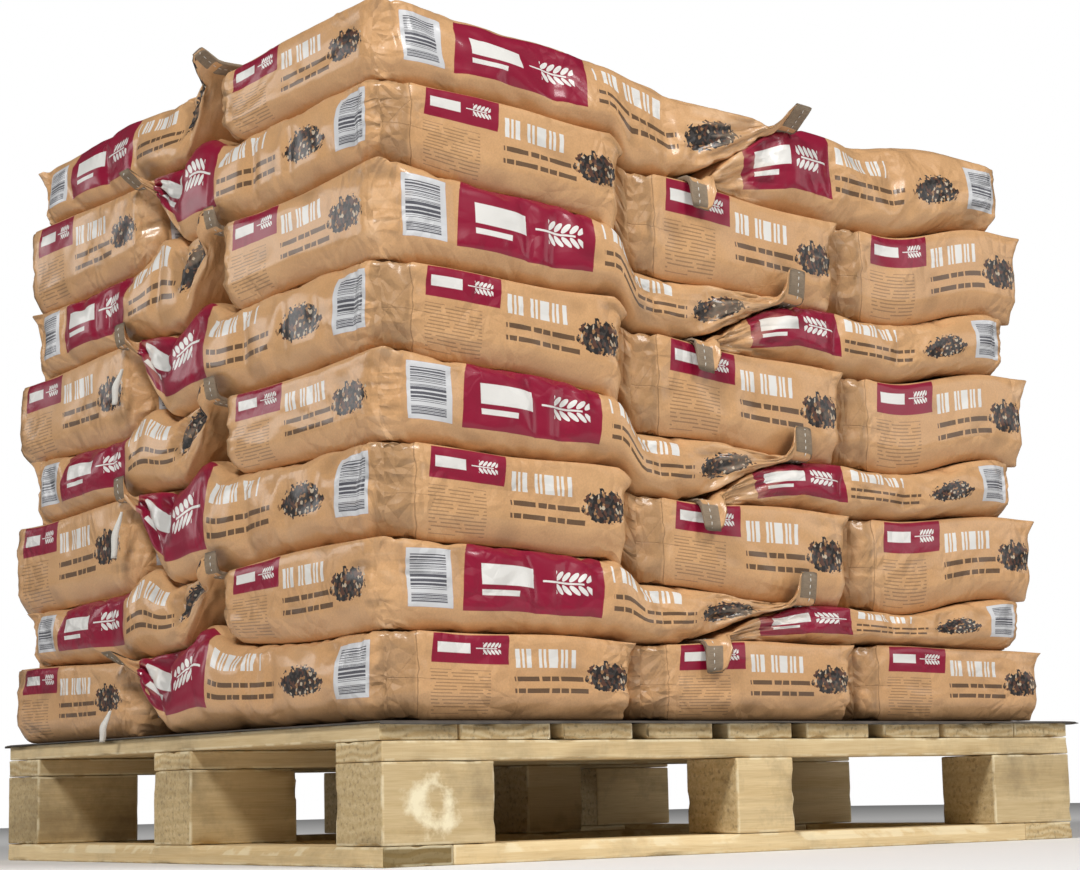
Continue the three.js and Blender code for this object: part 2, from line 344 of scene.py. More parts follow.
board_wood = wood_material("sawn board", {
    "Pale": (0.86, 0.69, 0.41, 1), "Dark": (0.66, 0.47, 0.23, 1), "Rings": 30.0, "Ringed": 0.30,
    "Dirt": 0.35, "Scuff Place": (0, 0, -1)})
for side in ("left", "right", "front", "middle", "back"):
    grain = 1 if side in ("left", "right") else 0
    start = STOCK_WIDTH if grain == 1 else END_BLOCK - STOCK_WIDTH
    chamfers = [(start + CHAMFER_CLEARANCE, 0.5 - MIDDLE_BLOCK / 2 - CHAMFER_CLEARANCE),
                (0.5 + MIDDLE_BLOCK / 2 + CHAMFER_CLEARANCE, 1.0 - start - CHAMFER_CLEARANCE)]
    replace_timber(f"base_board_{side}", f"{side}_base_board", grain, board_wood, "wood_board",
                   chamfers=chamfers, stain=NEAR_END_STAIN if side == "left" else 0.0)

# Blocks
# Nine softwood blocks stand on the base boards, six long ones at the ends and three short ones in
# the centre. They are sawn across, so their ends are rough. The near one has a pale scuff in front.

block_wood = wood_material("sawn block", {
    "Pale": (0.82, 0.65, 0.38, 1), "Dark": (0.60, 0.43, 0.21, 1), "Rings": 22.0, "Ringed": 0.10, "Dirt": 0.5,
    "Scuff Place": (-0.528, -0.500, 0.072)})
for row in ("front", "middle", "back"):
    for column in ("left", "centre", "right"):
        replace_timber(f"block_{row}_{column}", f"{row}_{column}_block", 0, block_wood, "wood_block")

# Stringers
# Three sawn boards lie along the long side on top of the blocks, are nailed to them and tie them
# together.

for row in ("front", "middle", "back"):
    replace_timber(f"stringer_{row}", f"{row}_stringer", 0, board_wood, "wood_board")

# Deck boards
# Nine sawn boards of mixed widths run from front to back, nailed on the stringers, with open gaps
# between them.

DECK_WIDTHS = [0.112, 0.135, 0.111, 0.110, 0.112, 0.116, 0.110, 0.143, 0.112]
DECK_GAPS = [0.002, 0.019, 0.025, 0.026, 0.027, 0.029, 0.008, 0.003, 0]
DECK_SAG = 0.0004
UNEVEN_END = 0.004

deck_low, deck_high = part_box("deck_boards")
deck_boards = []
board_left = deck_low[0]
for number, width in enumerate(DECK_WIDTHS):
    name = f"deck_board_{number + 1}"
    low = (board_left, deck_low[1] + wood_random.uniform(0, UNEVEN_END), deck_low[2])
    high = (board_left + width, deck_high[1] - wood_random.uniform(0, UNEVEN_END), deck_high[2] - DECK_SAG)
    board = new_piece(name, sawn_timber(name, low, high, 1), board_wood)
    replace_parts(board, "deck_boards")
    deck_boards.append(board)
    board_left += width + DECK_GAPS[number]

# Nails
# Round wire nails of galvanised steel hold each deck board to the three stringers and the blocks
# below, three at every crossing. Only their flat heads show, driven level with the wood.

NAIL_INSET = 0.024
NAIL_PROUD = 0.0003
NAIL_DEEP = 0.0010
NAIL_SIZES = {"Head Radius": 0.0045, "Head Depth": NAIL_PROUD + NAIL_DEEP}


def grown(name, mesh, tree, sizes):
    """The mesh that a Geometry Nodes tree makes from another, with these sizes."""
    carrier = bpy.data.objects.new(name, mesh)
    bpy.context.scene.collection.objects.link(carrier)
    grow = carrier.modifiers.new("grow", "NODES")
    grow.node_group = tree
    for socket in tree.interface.items_tree:
        if socket.name in sizes:
            grow[socket.identifier] = sizes[socket.name]
    evaluated = carrier.evaluated_get(bpy.context.evaluated_depsgraph_get())
    result = bpy.data.meshes.new_from_object(evaluated)
    result.name = name
    bpy.data.objects.remove(carrier)
    return result


def geometry_tree(name, sizes, material, build):
    """A Geometry Nodes tree with a named input for each size. build adds its nodes and gives the
    instances, which become real meshes of the material."""
    tree = bpy.data.node_groups.new(name, "GeometryNodeTree")
    add_sockets(tree, "INPUT", {"Given": "Geometry", **dict.fromkeys(sizes, "Float")})
    add_sockets(tree, "OUTPUT", {"Geometry": "Geometry"})
    nodes = Nodes(tree)
    instances = build(nodes, tree.nodes.new("NodeGroupInput").outputs)
    real = nodes.add("GeometryNodeRealizeInstances", {0: instances})
    painted = nodes.add("GeometryNodeSetMaterial", {"Geometry": real.outputs[0], "Material": material})
    tree.links.new(painted.outputs[0], tree.nodes.new("NodeGroupOutput").inputs[0])
    return tree


def steel_pattern(nodes):
    """Galvanised steel, dull grey and a little mottled."""
    mottle = nodes.noise(nodes.place(), 400.0, 3.0)
    return {"Base Color": nodes.mixed(mottle, (0.30, 0.27, 0.24, 1), (0.62, 0.62, 0.60, 1)),
            "Roughness": nodes.ranged(mottle, to_low=0.35, to_high=0.7)}


def nail_heads(nodes, given):
    """A flat round head at each point."""
    size = {"Vertices": 12, "Radius": given["Head Radius"], "Depth": given["Head Depth"]}
    head = nodes.add("GeometryNodeMeshCylinder", size).outputs[0]
    return nodes.add("GeometryNodeInstanceOnPoints", {"Points": given[0], "Instance": head}).outputs[0]


nail_steel = made_of("galvanised steel", steel_pattern, Metallic=1.0)
nail_tree = geometry_tree("nail heads", NAIL_SIZES, nail_steel, nail_heads)
nail_places = []
for board in deck_boards:
    across = [vertex.co.x for vertex in board.data.vertices]
    left, right = min(across) + NAIL_INSET, max(across) - NAIL_INSET
    top = deck_high[2] - DECK_SAG + (NAIL_PROUD - NAIL_DEEP) / 2
    for row in ("front", "middle", "back"):
        low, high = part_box(f"stringer_{row}")
        near, far = low[1] + NAIL_INSET, high[1] - NAIL_INSET
        nail_places += [(left, near, top), (right, near, top), ((left + right) / 2, far, top)]
nail_points = bpy.data.meshes.new("nail_places")
nail_points.from_pydata(nail_places, [], [])
new_piece("deck_nails", grown("deck_nails", nail_points, nail_tree, NAIL_SIZES), nail_steel)

# Slip sheet
# A thin sheet of dark grey board lies loose between the deck and the lowest sacks. Its border
# stands a little past the deck and droops over the board ends in slow waves.

SHEET_THICKNESS = 0.0014
SHEET_OVERHANG = 0.009
SHEET_RIGHT_TAB = 0.021
SHEET_DROOP = 0.0035
DROOP_START = 0.003
DROOP_CURVE = 1.6
MOST_DROOP = 1.6
PULL_IN = 0.35
PULL_REACH = 0.02
SHEET_LIFT = 0.0002

sheet_low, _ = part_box("slip_sheet")
deck_left, deck_front = deck_low[0], deck_low[1]
deck_right, deck_back = deck_high[0], deck_high[1]
sheet_length = deck_right - deck_left + SHEET_OVERHANG / 2 + SHEET_RIGHT_TAB
sheet_x = deck_left - SHEET_OVERHANG / 2 + grid_lines(sheet_length, 0.03, 0.003, 0.024)
sheet_width = deck_back - deck_front + 2 * SHEET_OVERHANG
sheet_y = deck_front - SHEET_OVERHANG + grid_lines(sheet_width, 0.02, 0.002, 0.024)
sheet_z = np.array((-1, 0, 1)) * SHEET_THICKNESS / 2
_, sheet_places, sheet_quads, _ = box_skin([sheet_x, sheet_y, sheet_z])
sheet_points = np.stack(sheet_places, 1)
past_x = np.maximum(deck_left - sheet_points[:, 0], sheet_points[:, 0] - deck_right)
past_y = np.maximum(deck_front - sheet_points[:, 1], sheet_points[:, 1] - deck_back)
past = np.maximum(np.maximum(past_x, past_y) + DROOP_START, 0)
waves = 0.7 * value_noise(sheet_points * (5, 5, 0), 3) + 0.25 * value_noise(sheet_points * (17, 17, 0), 4)
over_edge = np.clip(past / (SHEET_OVERHANG + DROOP_START), 0, MOST_DROOP)
droop = over_edge ** DROOP_CURVE * SHEET_DROOP * (0.75 + waves)
pull_in = np.clip(past, 0, PULL_REACH) * PULL_IN * np.clip(droop / SHEET_DROOP, 0, 1)
sheet_points[:, 1] -= np.sign(sheet_points[:, 1]) * pull_in * (past_y > -DROOP_START)
sheet_points[:, 2] += sheet_low[2] + SHEET_THICKNESS / 2 + SHEET_LIFT - droop


def sheet_pattern(nodes):
    """Dark grey board, matt and a little mottled."""
    mottle = nodes.noise(nodes.place(), 30.0, 6.0)
    pale = nodes.ranged(mottle, 0.35, 0.7)
    return {"Base Color": nodes.mixed(pale, (0.05, 0.045, 0.04, 1), (0.11, 0.095, 0.08, 1)),
            "Roughness": nodes.ranged(mottle, to_low=0.5, to_high=0.8),
            "Normal": nodes.bump(mottle, 0.3, 0.0008)}


slip_sheet = new_piece("dark_slip_sheet", new_mesh("slip_sheet_board", sheet_points, sheet_quads),
                       made_of("dark sheet board", sheet_pattern))
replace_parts(slip_sheet, "slip_sheet")

# Sacks
# Forty paper sacks of loose feed. Each is a tube of coated kraft paper with a flat folded bottom
# and a sewn mouth. Filled and laid flat, its sides bulge, its corners wrinkle and it tapers to the
# mouth. Five make a layer, turned end for end from layer to layer.

LOAD_LEFT = -0.592
LOAD_FRONT = -0.492
ODD_LAYER_RIGHT = 0.560
EVEN_LAYER_RIGHT = 0.528
LAYER_BACKS = [0.516, 0.450, 0.520, 0.445, 0.518, 0.444, 0.475, 0.425]
PALLET_SIZE = (1.2, 1.0)

# How far the middle of each layer's top sags, at the front and at the back, in millimetres
SAG_FRONT = [0, 0, 33, 28, 46, 40, 55, 45, 30]
SAG_BACK = [0, 26, 22, 38, 34, 48, 42, 44, 34]

# Heights of the layers' tops over the pallet's corners: front left, front right, back left and
# back right, in millimetres
LAYER_TOPS = [(170, 170, 170, 170), (273, 270, 281, 276), (389, 340, 356, 341), (501, 462, 495, 471),
              (613, 541, 582, 546), (727, 670, 708, 681), (843, 757, 812, 766), (951, 885, 938, 896),
              (1050, 985, 1030, 991)]

SACK_WIDTH = 0.385
SACK_HEIGHT = 0.110
SACK_GAP = 0.0004
FLANGE = 0.030
FLANGE_THICKNESS = 0.004
FLANGE_SINK = 0.0013
ROW_LAPS = {"left": 0.022, "middle": -0.0003, "right": 0.022}
UPPER_SHARE = 0.618
LOWER_SHARE = 0.56

# The three in a row are short and end in a steep wedge. The two end to end are longer, and their
# long wedges lie over each other.
SACK_KINDS = {
    "row": {"length": 0.620, "body": 0.79, "taper": 1.6, "corners": (0.042, 0.012), "ear": 0.75,
            "crease": 0.050, "gusset": 0.010},
    "pair": {"length": 0.690, "body": 0.68, "taper": 1.3, "corners": (0.026, 0.030), "ear": 1.0,
             "crease": 0.026, "gusset": 0.006}}
SHOULDER = 0.014
END_SHOULDER = 0.30
UNDERSIDE_INSET = 0.015
UNDERSIDE_SHARE = 0.26
END_PINCH = 0.009
END_TIP = 0.010
EAR_SPREAD = 0.95
EAR_ZONE = 0.06
EAR_LENGTH = 0.022
EAR_CREASE = 0.65
END_CREASE = 0.050
GUSSET_REACH = 0.022
MOUTH_CORNER = 0.0025
SHOULDER_ZONE = (0.01, 0.09)
WEDGE_SHOULDER_LOSS = 0.85
EAR_BEFORE_MOUTH = 0.15
SINK_ZONE = (0.7, 1)
PRINT_MARGIN = 0.1
MOUTH_PRINT_HEIGHT = 0.55
FLAT_EARS = {"1_front_left": 0.25, "7_front_left": 0.4}


def smooth_step(value, start, end):
    share = np.clip((value - start) / (end - start), 0, 1)
    return share * share * (3 - 2 * share)


def hump(value, rise, fall):
    """Rises softly from 0 to 1 over one stretch and falls back over another."""
    return smooth_step(value, *rise) * (1 - smooth_step(value, *fall))


def wedge_share(kind, a):
    """How far along the wedge a place is: 0 in the full body, 1 at the flat mouth."""
    length, body = SACK_KINDS[kind]["length"], SACK_KINDS[kind]["body"]
    return np.clip((a / length - body) / (1 - body - FLANGE / length), 0, 1)


def round_corners(x, y, half_x, half_y, radius):
    """Moves the points of a rectangle into one with round corners."""
    dx = np.maximum(np.abs(x) - half_x + radius, 0) / radius
    dy = np.maximum(np.abs(y) - half_y + radius, 0) / radius
    both = (dx > 0) & (dy > 0)
    scale = np.where(both, np.maximum(dx, dy) / np.maximum(np.hypot(dx, dy), 1e-9), 1)
    return (np.sign(x) * (np.minimum(np.abs(x), half_x - radius) + dx * scale * radius),
            np.sign(y) * (np.minimum(np.abs(y), half_y - radius) + dy * scale * radius))


def sack_form(kind, a, b, c):
    """A neatly filled sack lying with its bottom at x = 0 and its mouth up at the far end. a, b and
    c are places in a plain box: along, across and up, where c goes from 0 to 1."""
    length = SACK_KINDS[kind]["length"]
    left_corner, right_corner = SACK_KINDS[kind]["corners"]
    wedge = wedge_share(kind, a)
    thickness = SACK_HEIGHT + (FLANGE_THICKNESS - SACK_HEIGHT) * wedge ** SACK_KINDS[kind]["taper"]
    softness = END_SHOULDER + (1 - END_SHOULDER) * smooth_step(a, *SHOULDER_ZONE)
    shoulder = SHOULDER * softness * (1 - WEDGE_SHOULDER_LOSS * wedge)
    depth = np.maximum(1 - np.minimum(c, 1 - c) * SACK_HEIGHT / SHOULDER, 0)
    inset = shoulder * (1 - np.sqrt(np.maximum(1 - depth ** 2, 0)))
    corner = np.where(a < length / 2, np.where(b > 0, left_corner, right_corner), MOUTH_CORNER)
    half_x, half_y = length / 2, SACK_WIDTH / 2
    x, y = round_corners((a - half_x) * (half_x - inset) / half_x, b * (half_y - inset) / half_y,
                         half_x - inset, half_y - inset, np.maximum(corner - inset, MOUTH_CORNER))
    ramp = np.clip((np.abs(b) - half_y + EAR_ZONE) / EAR_ZONE, 0, 1)
    near_mouth = smooth_step(a, length - FLANGE - EAR_LENGTH, length - FLANGE)
    flat = EAR_BEFORE_MOUTH + (1 - EAR_BEFORE_MOUTH) * near_mouth
    spread = EAR_SPREAD * SACK_KINDS[kind]["ear"] * flat * (SACK_HEIGHT - thickness) / 2
    off_middle = np.abs(2 * c - 1)
    spread = spread * (1 - EAR_CREASE * off_middle - (1 - EAR_CREASE) * off_middle ** 2)
    on_rim = (np.abs(b) > half_y - 1e-6) | (a > length - 1e-6)
    y = y + np.sign(b) * spread * ramp * on_rim
    z = SACK_HEIGHT - thickness + thickness * c - FLANGE_SINK * smooth_step(wedge, *SINK_ZONE)
    return np.stack([x + half_x, y, z], 1)


def vertex_normals(points, quads):
    face = np.cross(points[quads[:, 2]] - points[quads[:, 0]], points[quads[:, 3]] - points[quads[:, 1]])
    normals = np.zeros_like(points)
    for corner in range(4):
        np.add.at(normals, quads[:, corner], face)
    return normals / np.maximum(np.linalg.norm(normals, axis=1, keepdims=True), 1e-12)


# The filling: the paper's stiffness and stretch as cloth, how hard the feed presses, how far the
# paper may move, and how much of each flat side and of the folded bottom is held in place
PAPER_CLOTH = {"quality": 5, "mass": 0.15, "tension_stiffness": 60, "compression_stiffness": 60,
               "shear_stiffness": 30, "bending_stiffness": 1.5, "tension_damping": 10,
               "compression_damping": 10, "shear_damping": 5, "use_pressure": True, "shrink_min": -0.025,
               "shrink_max": -0.025, "vertex_group_mass": "held", "pin_stiffness": 20}
FILL_PRESSURE, CROWN_PRESSURE = 5.0, 3.0
FILL_FRAMES = 16
FILL_CAP = 0.013
LOOSE_PAPER = (0.0015, 0.003, 0.0015)
FREE_BORDER, HELD_BORDER = 0.006, 0.028
HELD_UNDER_WEDGE, HELD_BOTTOM, HELD_BOTTOM_EDGE = 0.5, 0.75, 0.6
BOTTOM_BORDER, BOTTOM_EDGE_WIDTH = 0.02, 0.013

# The cloth's grid along, across and up: the width of the close border, its step and the wide step
ROUGH_GRID = ((0.06, 0.006, 0.010), (0.06, 0.006, 0.017), (0.016, 0.004, 0.008))


def box_lines(kind, line_maker, grid):
    """The grid lines of a sack's plain box: along, across and up, where up goes from 0 to 1."""
    sizes = (SACK_KINDS[kind]["length"], SACK_WIDTH, SACK_HEIGHT)
    along, across, up = (line_maker(size, *steps) for size, steps in zip(sizes, grid))
    return [along, across - SACK_WIDTH / 2, up / SACK_HEIGHT]


def rough_lines(kind):
    return box_lines(kind, grid_lines, ROUGH_GRID)


def fill_sack(kind, seed, free):
    """Fills a sack: the paper is blown out by pressure while its top and underside are held flat,
    and how each point of it moves is given back. On top of the load one of these sides is free to
    crown: 0 is the underside, 1 the top and 2 none."""
    lines = rough_lines(kind)
    numbers, (a, b, c), quads, _ = box_skin(lines)
    start = sack_form(kind, a, b, c)
    grid = np.zeros((*(len(line) for line in lines), 3))
    loose = np.stack([value_noise(start * 11, seed + shift) for shift in (0, 0.3, 0.6)], 1)
    loose = loose * LOOSE_PAPER
    paper = bpy.data.objects.new("filling", new_mesh("filling", start + loose, quads))
    bpy.context.scene.collection.objects.link(paper)
    length = SACK_KINDS[kind]["length"]
    inner = np.minimum(np.minimum(SACK_WIDTH / 2 - np.abs(b), a), length - a + 0.05)
    flat = ((c == 0) & (free != 0)) | ((c == 1) & (free != 1))
    held = np.where(flat, np.clip((inner - FREE_BORDER) / HELD_BORDER, 0, 1), 0)
    held = np.where((wedge_share(kind, a) > 0) & (c == 0), held * HELD_UNDER_WEDGE, held)
    held = np.where(a > length - FLANGE - 0.003, 1, held)
    crease = SACK_WIDTH / 2 - SACK_KINDS[kind]["crease"]
    on_end = (a == 0) & (b < crease)
    edge = np.minimum(crease - b, BOTTOM_BORDER) / BOTTOM_BORDER
    held = np.where(on_end, np.maximum(held, HELD_BOTTOM * edge), held)
    on_edge = (b == -SACK_WIDTH / 2) & (a < BOTTOM_EDGE_WIDTH)
    held = np.where(on_edge, np.maximum(held, HELD_BOTTOM_EDGE), held)
    group = paper.vertex_groups.new(name="held")
    for index, weight in enumerate(held):
        group.add([index], float(weight), "REPLACE")
    cloth = paper.modifiers.new("fill", "CLOTH")
    for key, value in PAPER_CLOTH.items():
        setattr(cloth.settings, key, value)
    cloth.settings.uniform_pressure_force = FILL_PRESSURE if free == 2 else CROWN_PRESSURE
    cloth.settings.effector_weights.gravity = 0
    cloth.collision_settings.use_collision = False
    cloth.point_cache.frame_start = 1
    cloth.point_cache.frame_end = FILL_FRAMES
    for frame_number in range(1, FILL_FRAMES + 1):
        bpy.context.scene.frame_set(frame_number)
    filled = paper.evaluated_get(bpy.context.evaluated_depsgraph_get())
    moved = np.empty(len(start) * 3)
    filled.data.vertices.foreach_get("co", moved)
    bpy.context.scene.frame_set(1)
    bpy.data.objects.remove(paper)
    shift = moved.reshape(-1, 3) - start
    reach = np.linalg.norm(shift, axis=1, keepdims=True)
    shift *= FILL_CAP * np.tanh(reach / FILL_CAP) / np.maximum(reach, 1e-9)
    grid[tuple(numbers.T)] = shift
    return grid


def finer_weights(old, new):
    """Weights that take smooth values at new places from values at old ones."""
    place = np.interp(new, old, np.arange(len(old)))
    base = np.clip(np.floor(place).astype(int), 0, len(old) - 2)
    t = place - base
    curve = [(-t + 2 * t ** 2 - t ** 3) / 2, (2 - 5 * t ** 2 + 3 * t ** 3) / 2,
             (t + 4 * t ** 2 - 3 * t ** 3) / 2, (t ** 3 - t ** 2) / 2]
    weights = np.zeros((len(new), len(old)))
    for step, weight in zip((-1, 0, 1, 2), curve):
        np.add.at(weights, (np.arange(len(new)), np.clip(base + step, 0, len(old) - 1)), weight)
    return weights


def finer_shift(kind, shift, lines, numbers):
    """How the filled paper moves at the points of a finer skin."""
    weights = [finer_weights(old, new) for old, new in zip(rough_lines(kind), lines)]
    moved = np.zeros((len(numbers), 3))
    for side in range(6):
        axis, end = divmod(side, 2)
        first, second = [other for other in range(3) if other != axis]
        face = np.take(shift, -end, axis=axis)
        fine = np.einsum("iu,jv,uvk->ijk", weights[first], weights[second], face)
        chosen = numbers[:, axis] == end * (len(lines[axis]) - 1)
        moved[chosen] = fine[numbers[chosen, first], numbers[chosen, second]]
    return moved


WIDE_CELLS = 3


def thinned_skin(counts, fine_sides):
    """The skin of a grid of points with single cells where fine_sides says so, and elsewhere wide
    faces that take in only the border points that other faces need."""
    number = np.arange(int(np.prod(counts))).reshape(counts)
    rings, sides, kept = [], [], set()
    for side, fine in enumerate(fine_sides):
        axis, end = divmod(side, 2)
        order = (axis, (axis + 1) % 3, (axis + 2) % 3)
        grid = np.transpose(number, order)[-end]
        for row in range(0, fine.shape[0], WIDE_CELLS):
            for column in range(0, fine.shape[1], WIDE_CELLS):
                last_row = min(row + WIDE_CELLS, fine.shape[0])
                last_column = min(column + WIDE_CELLS, fine.shape[1])
                cells = [(row, last_row, column, last_column)]
                if fine[row:last_row, column:last_column].any():
                    cells = [(i, i + 1, j, j + 1)
                             for i in range(row, last_row) for j in range(column, last_column)]
                for i, k, j, m in cells:
                    ring = [*grid[i:k, j], *grid[k, j:m], *grid[k:i:-1, m], *grid[i, m:j:-1]]
                    kept.update((grid[i, j], grid[k, j], grid[k, m], grid[i, m]))
                    rings.append(ring if end else ring[::-1])
                    sides.append(side)
    flat = np.array(sorted(kept))
    new_number = {old: new for new, old in enumerate(flat)}
    faces = [[new_number[point] for point in ring if point in new_number] for ring in rings]
    return flat, faces, np.array(sides)


# The finished paper's grid, with the same three lengths for each direction
FINE_GRID = ((0.07, 0.0055, 0.0075), (0.06, 0.0055, 0.0085), (0.02, 0.004, 0.0070))


def crowded_lines(length, edge, fine, coarse):
    """Places from 0 to length that crowd towards both ends, where the paper bends sharply."""
    near = edge * np.linspace(0, 1, round(edge / fine) + 1) ** 1.5
    middle = np.linspace(edge, length - edge, round((length - 2 * edge) / coarse) + 1)
    return np.concatenate([near, middle[1:-1], length - near[::-1]])


def sack_lines(kind):
    return box_lines(kind, crowded_lines, FINE_GRID)


# How far the shown part of a hidden side reaches in from the outer edge, the bottom's corner and
# the bottom itself
OUTER_SHOWN, CORNER_SHOWN, END_SHOWN = 0.034, 0.045, 0.028


def shown_cells(kind, outer, on_top, mouth_up):
    """For each side of a sack's skin, which of its cells show outside the load."""
    middles = [(line[1:] + line[:-1]) / 2 for line in sack_lines(kind)]
    length, half = SACK_KINDS[kind]["length"], SACK_WIDTH / 2
    a, b, c = middles
    near_outer = b * outer > half - OUTER_SHOWN if outer else np.zeros(len(b), bool)
    cells = [np.ones((len(b), len(c)), bool)]
    cells.append(np.outer(b * outer > half - EAR_ZONE, c > 0))
    for side in (-1, 1):
        cells.append(np.outer(c > 0, (a < CORNER_SHOWN) | (outer == side) | on_top))
    near = (a[:, None] < END_SHOWN) | near_outer[None, :]
    for face in (0, 1):
        cells.append(near | (on_top and face == int(mouth_up)))
    return cells


# How deep each kind of fold is, how far the wrinkles reach from the bottom's two upright corners,
# and the depth at which a fold counts as full for the paper's colour
WRINKLE, CRUMPLE, PLEAT = 0.0085, 0.0030, 0.013
PINCH, PINCH_WIDTH = 0.012, 0.011
BOTTOM_STEP, STEP_WIDTH, STEP_REACH = 0.0035, 0.003, 0.04
LEFT_REACH, RIGHT_REACH = 0.062, 0.05
FULL_FOLD = 0.002


def paper_creases(kind, a, b, c, normals, seed):
    """Small folds: level wrinkles round the upright corners, a sharp crease beside the folded
    bottom, long folds that run to the mouth, a slanting fold on the wedge's side, and faint crumples
    everywhere. The bottom's right edge is drawn in, and its two corners stand out as points."""
    half = SACK_WIDTH / 2
    plain = np.stack([a, b, c * SACK_HEIGHT], 1)
    wedge = wedge_share(kind, a)
    upright = smooth_step(0.85 - np.abs(normals[:, 2]), 0, 0.3)
    near_left, near_right = np.hypot(a, b - half), np.hypot(a, b + half)
    level = value_noise(plain * (9, 9, 55), seed)
    patchy = value_noise(plain * (14, 14, 20), seed + 0.5)
    reach = np.maximum(np.exp(-(near_left / LEFT_REACH) ** 2), 0.8 * np.exp(-(near_right / RIGHT_REACH) ** 2))
    wrinkle = (0.3 - np.abs(level)) * WRINKLE * reach * np.clip(0.75 + 1.2 * patchy, 0, 1.3) * upright
    crumple = value_noise(plain * (16, 16, 30), seed + 1.0)
    crumple = (0.22 - np.abs(crumple)) * CRUMPLE * upright ** 2 * (1 - wedge ** 4)
    pleat = value_noise(plain * (8, 18, 42), seed + 1.5)
    pleat = (0.25 - np.abs(pleat)) * PLEAT * hump(wedge, (0.02, 0.5), (0.8, 1))
    pinch = (a - 0.8 * SACK_KINDS[kind]["length"] - 0.02 * level) / PINCH_WIDTH
    pinch = -PINCH * np.exp(-pinch ** 2) * smooth_step(c, 0.25, 0.75) * (kind == "row")
    fold_line = half - SACK_KINDS[kind]["crease"]
    step = smooth_step(b, fold_line - STEP_WIDTH, fold_line + STEP_WIDTH)
    crease = -BOTTOM_STEP * step * smooth_step(-a, -STEP_REACH, 0)
    depth = wrinkle + crumple + (pleat + pinch) * upright + crease
    off_middle = 2 * c - 1
    pinch_in = END_PINCH * np.exp(-(a / 0.035) ** 2 - ((b + half) / 0.025) ** 2) * (1 - off_middle ** 2)
    tip_out = END_TIP * np.exp(-(a / 0.016) ** 2 - ((b + half) / 0.016) ** 2) * off_middle ** 6
    off_fold = np.abs(c - 0.1 - 0.75 * wedge + 0.15 * patchy) * SACK_HEIGHT
    gusset = np.maximum(1 - off_fold / GUSSET_REACH, 0) * hump(wedge, (0.02, 0.3), (0.75, 1))
    moved = normals * (depth - SACK_KINDS[kind]["gusset"] * gusset * upright)[:, None]
    moved[:, 0] -= 0.5 * tip_out
    moved[:, 1] += pinch_in - tip_out
    return moved, depth, reach


TOP_LAYER = len(LAYER_TOPS) - 1
EAR_BEND = 0.009
EAR_START = 0.003
EAR_TURN_ZONE = (0.054, 0.030)
INSET_FADE = (0.22, 0.09)
INSET_CURVE = 1.2
PRESSED_REACH = 0.01
PERK_REACH = 0.10
BOUNDARY_WAVE = 0.0016
BOUNDARY_WAVES = [(9, 4), (-7, 13), (17, 9), (23, -15)]
SAG_SPAN, TOP_SAG_SPAN = ((-0.229, -0.187), (0.26, 0.50)), ((-0.35, 0.05), (0.2, 0.45))
SWELL = 0.030
SWELL_BEFORE_MOUTH = 0.045
SWELL_REACH = 0.042


def layer_top(layer, x, y):
    """The height where a layer ends. A sack swells into the hollow under the mouths above it."""
    front_left, front_right, back_left, back_right = LAYER_TOPS[layer]
    s = x / PALLET_SIZE[0] + 0.5
    front = front_left + (front_right - front_left) * s
    back = back_left + (back_right - back_left) * s
    height = (front + (back - front) * (y / PALLET_SIZE[1] + 0.5)) / 1000
    if layer == 0:
        return height
    sag = SAG_FRONT[layer] + (SAG_BACK[layer] - SAG_FRONT[layer]) * smooth_step(y, -0.2, 0.2)
    height = height - sag / 1000 * hump(x, *(TOP_SAG_SPAN if layer == TOP_LAYER else SAG_SPAN))
    for number, (along, across) in enumerate(BOUNDARY_WAVES):
        height = height + BOUNDARY_WAVE * np.sin(along * x + across * y + 2.4 * layer + 1.7 * number)
    if layer == TOP_LAYER:
        return height
    if layer % 2 == 0:
        hollow = LAYER_BACKS[layer] - SACK_WIDTH - SWELL_BEFORE_MOUTH
    else:
        hollow = LOAD_FRONT + SACK_WIDTH + SWELL_BEFORE_MOUTH
    return height + SWELL * np.exp(-((y - hollow) / SWELL_REACH) ** 2)


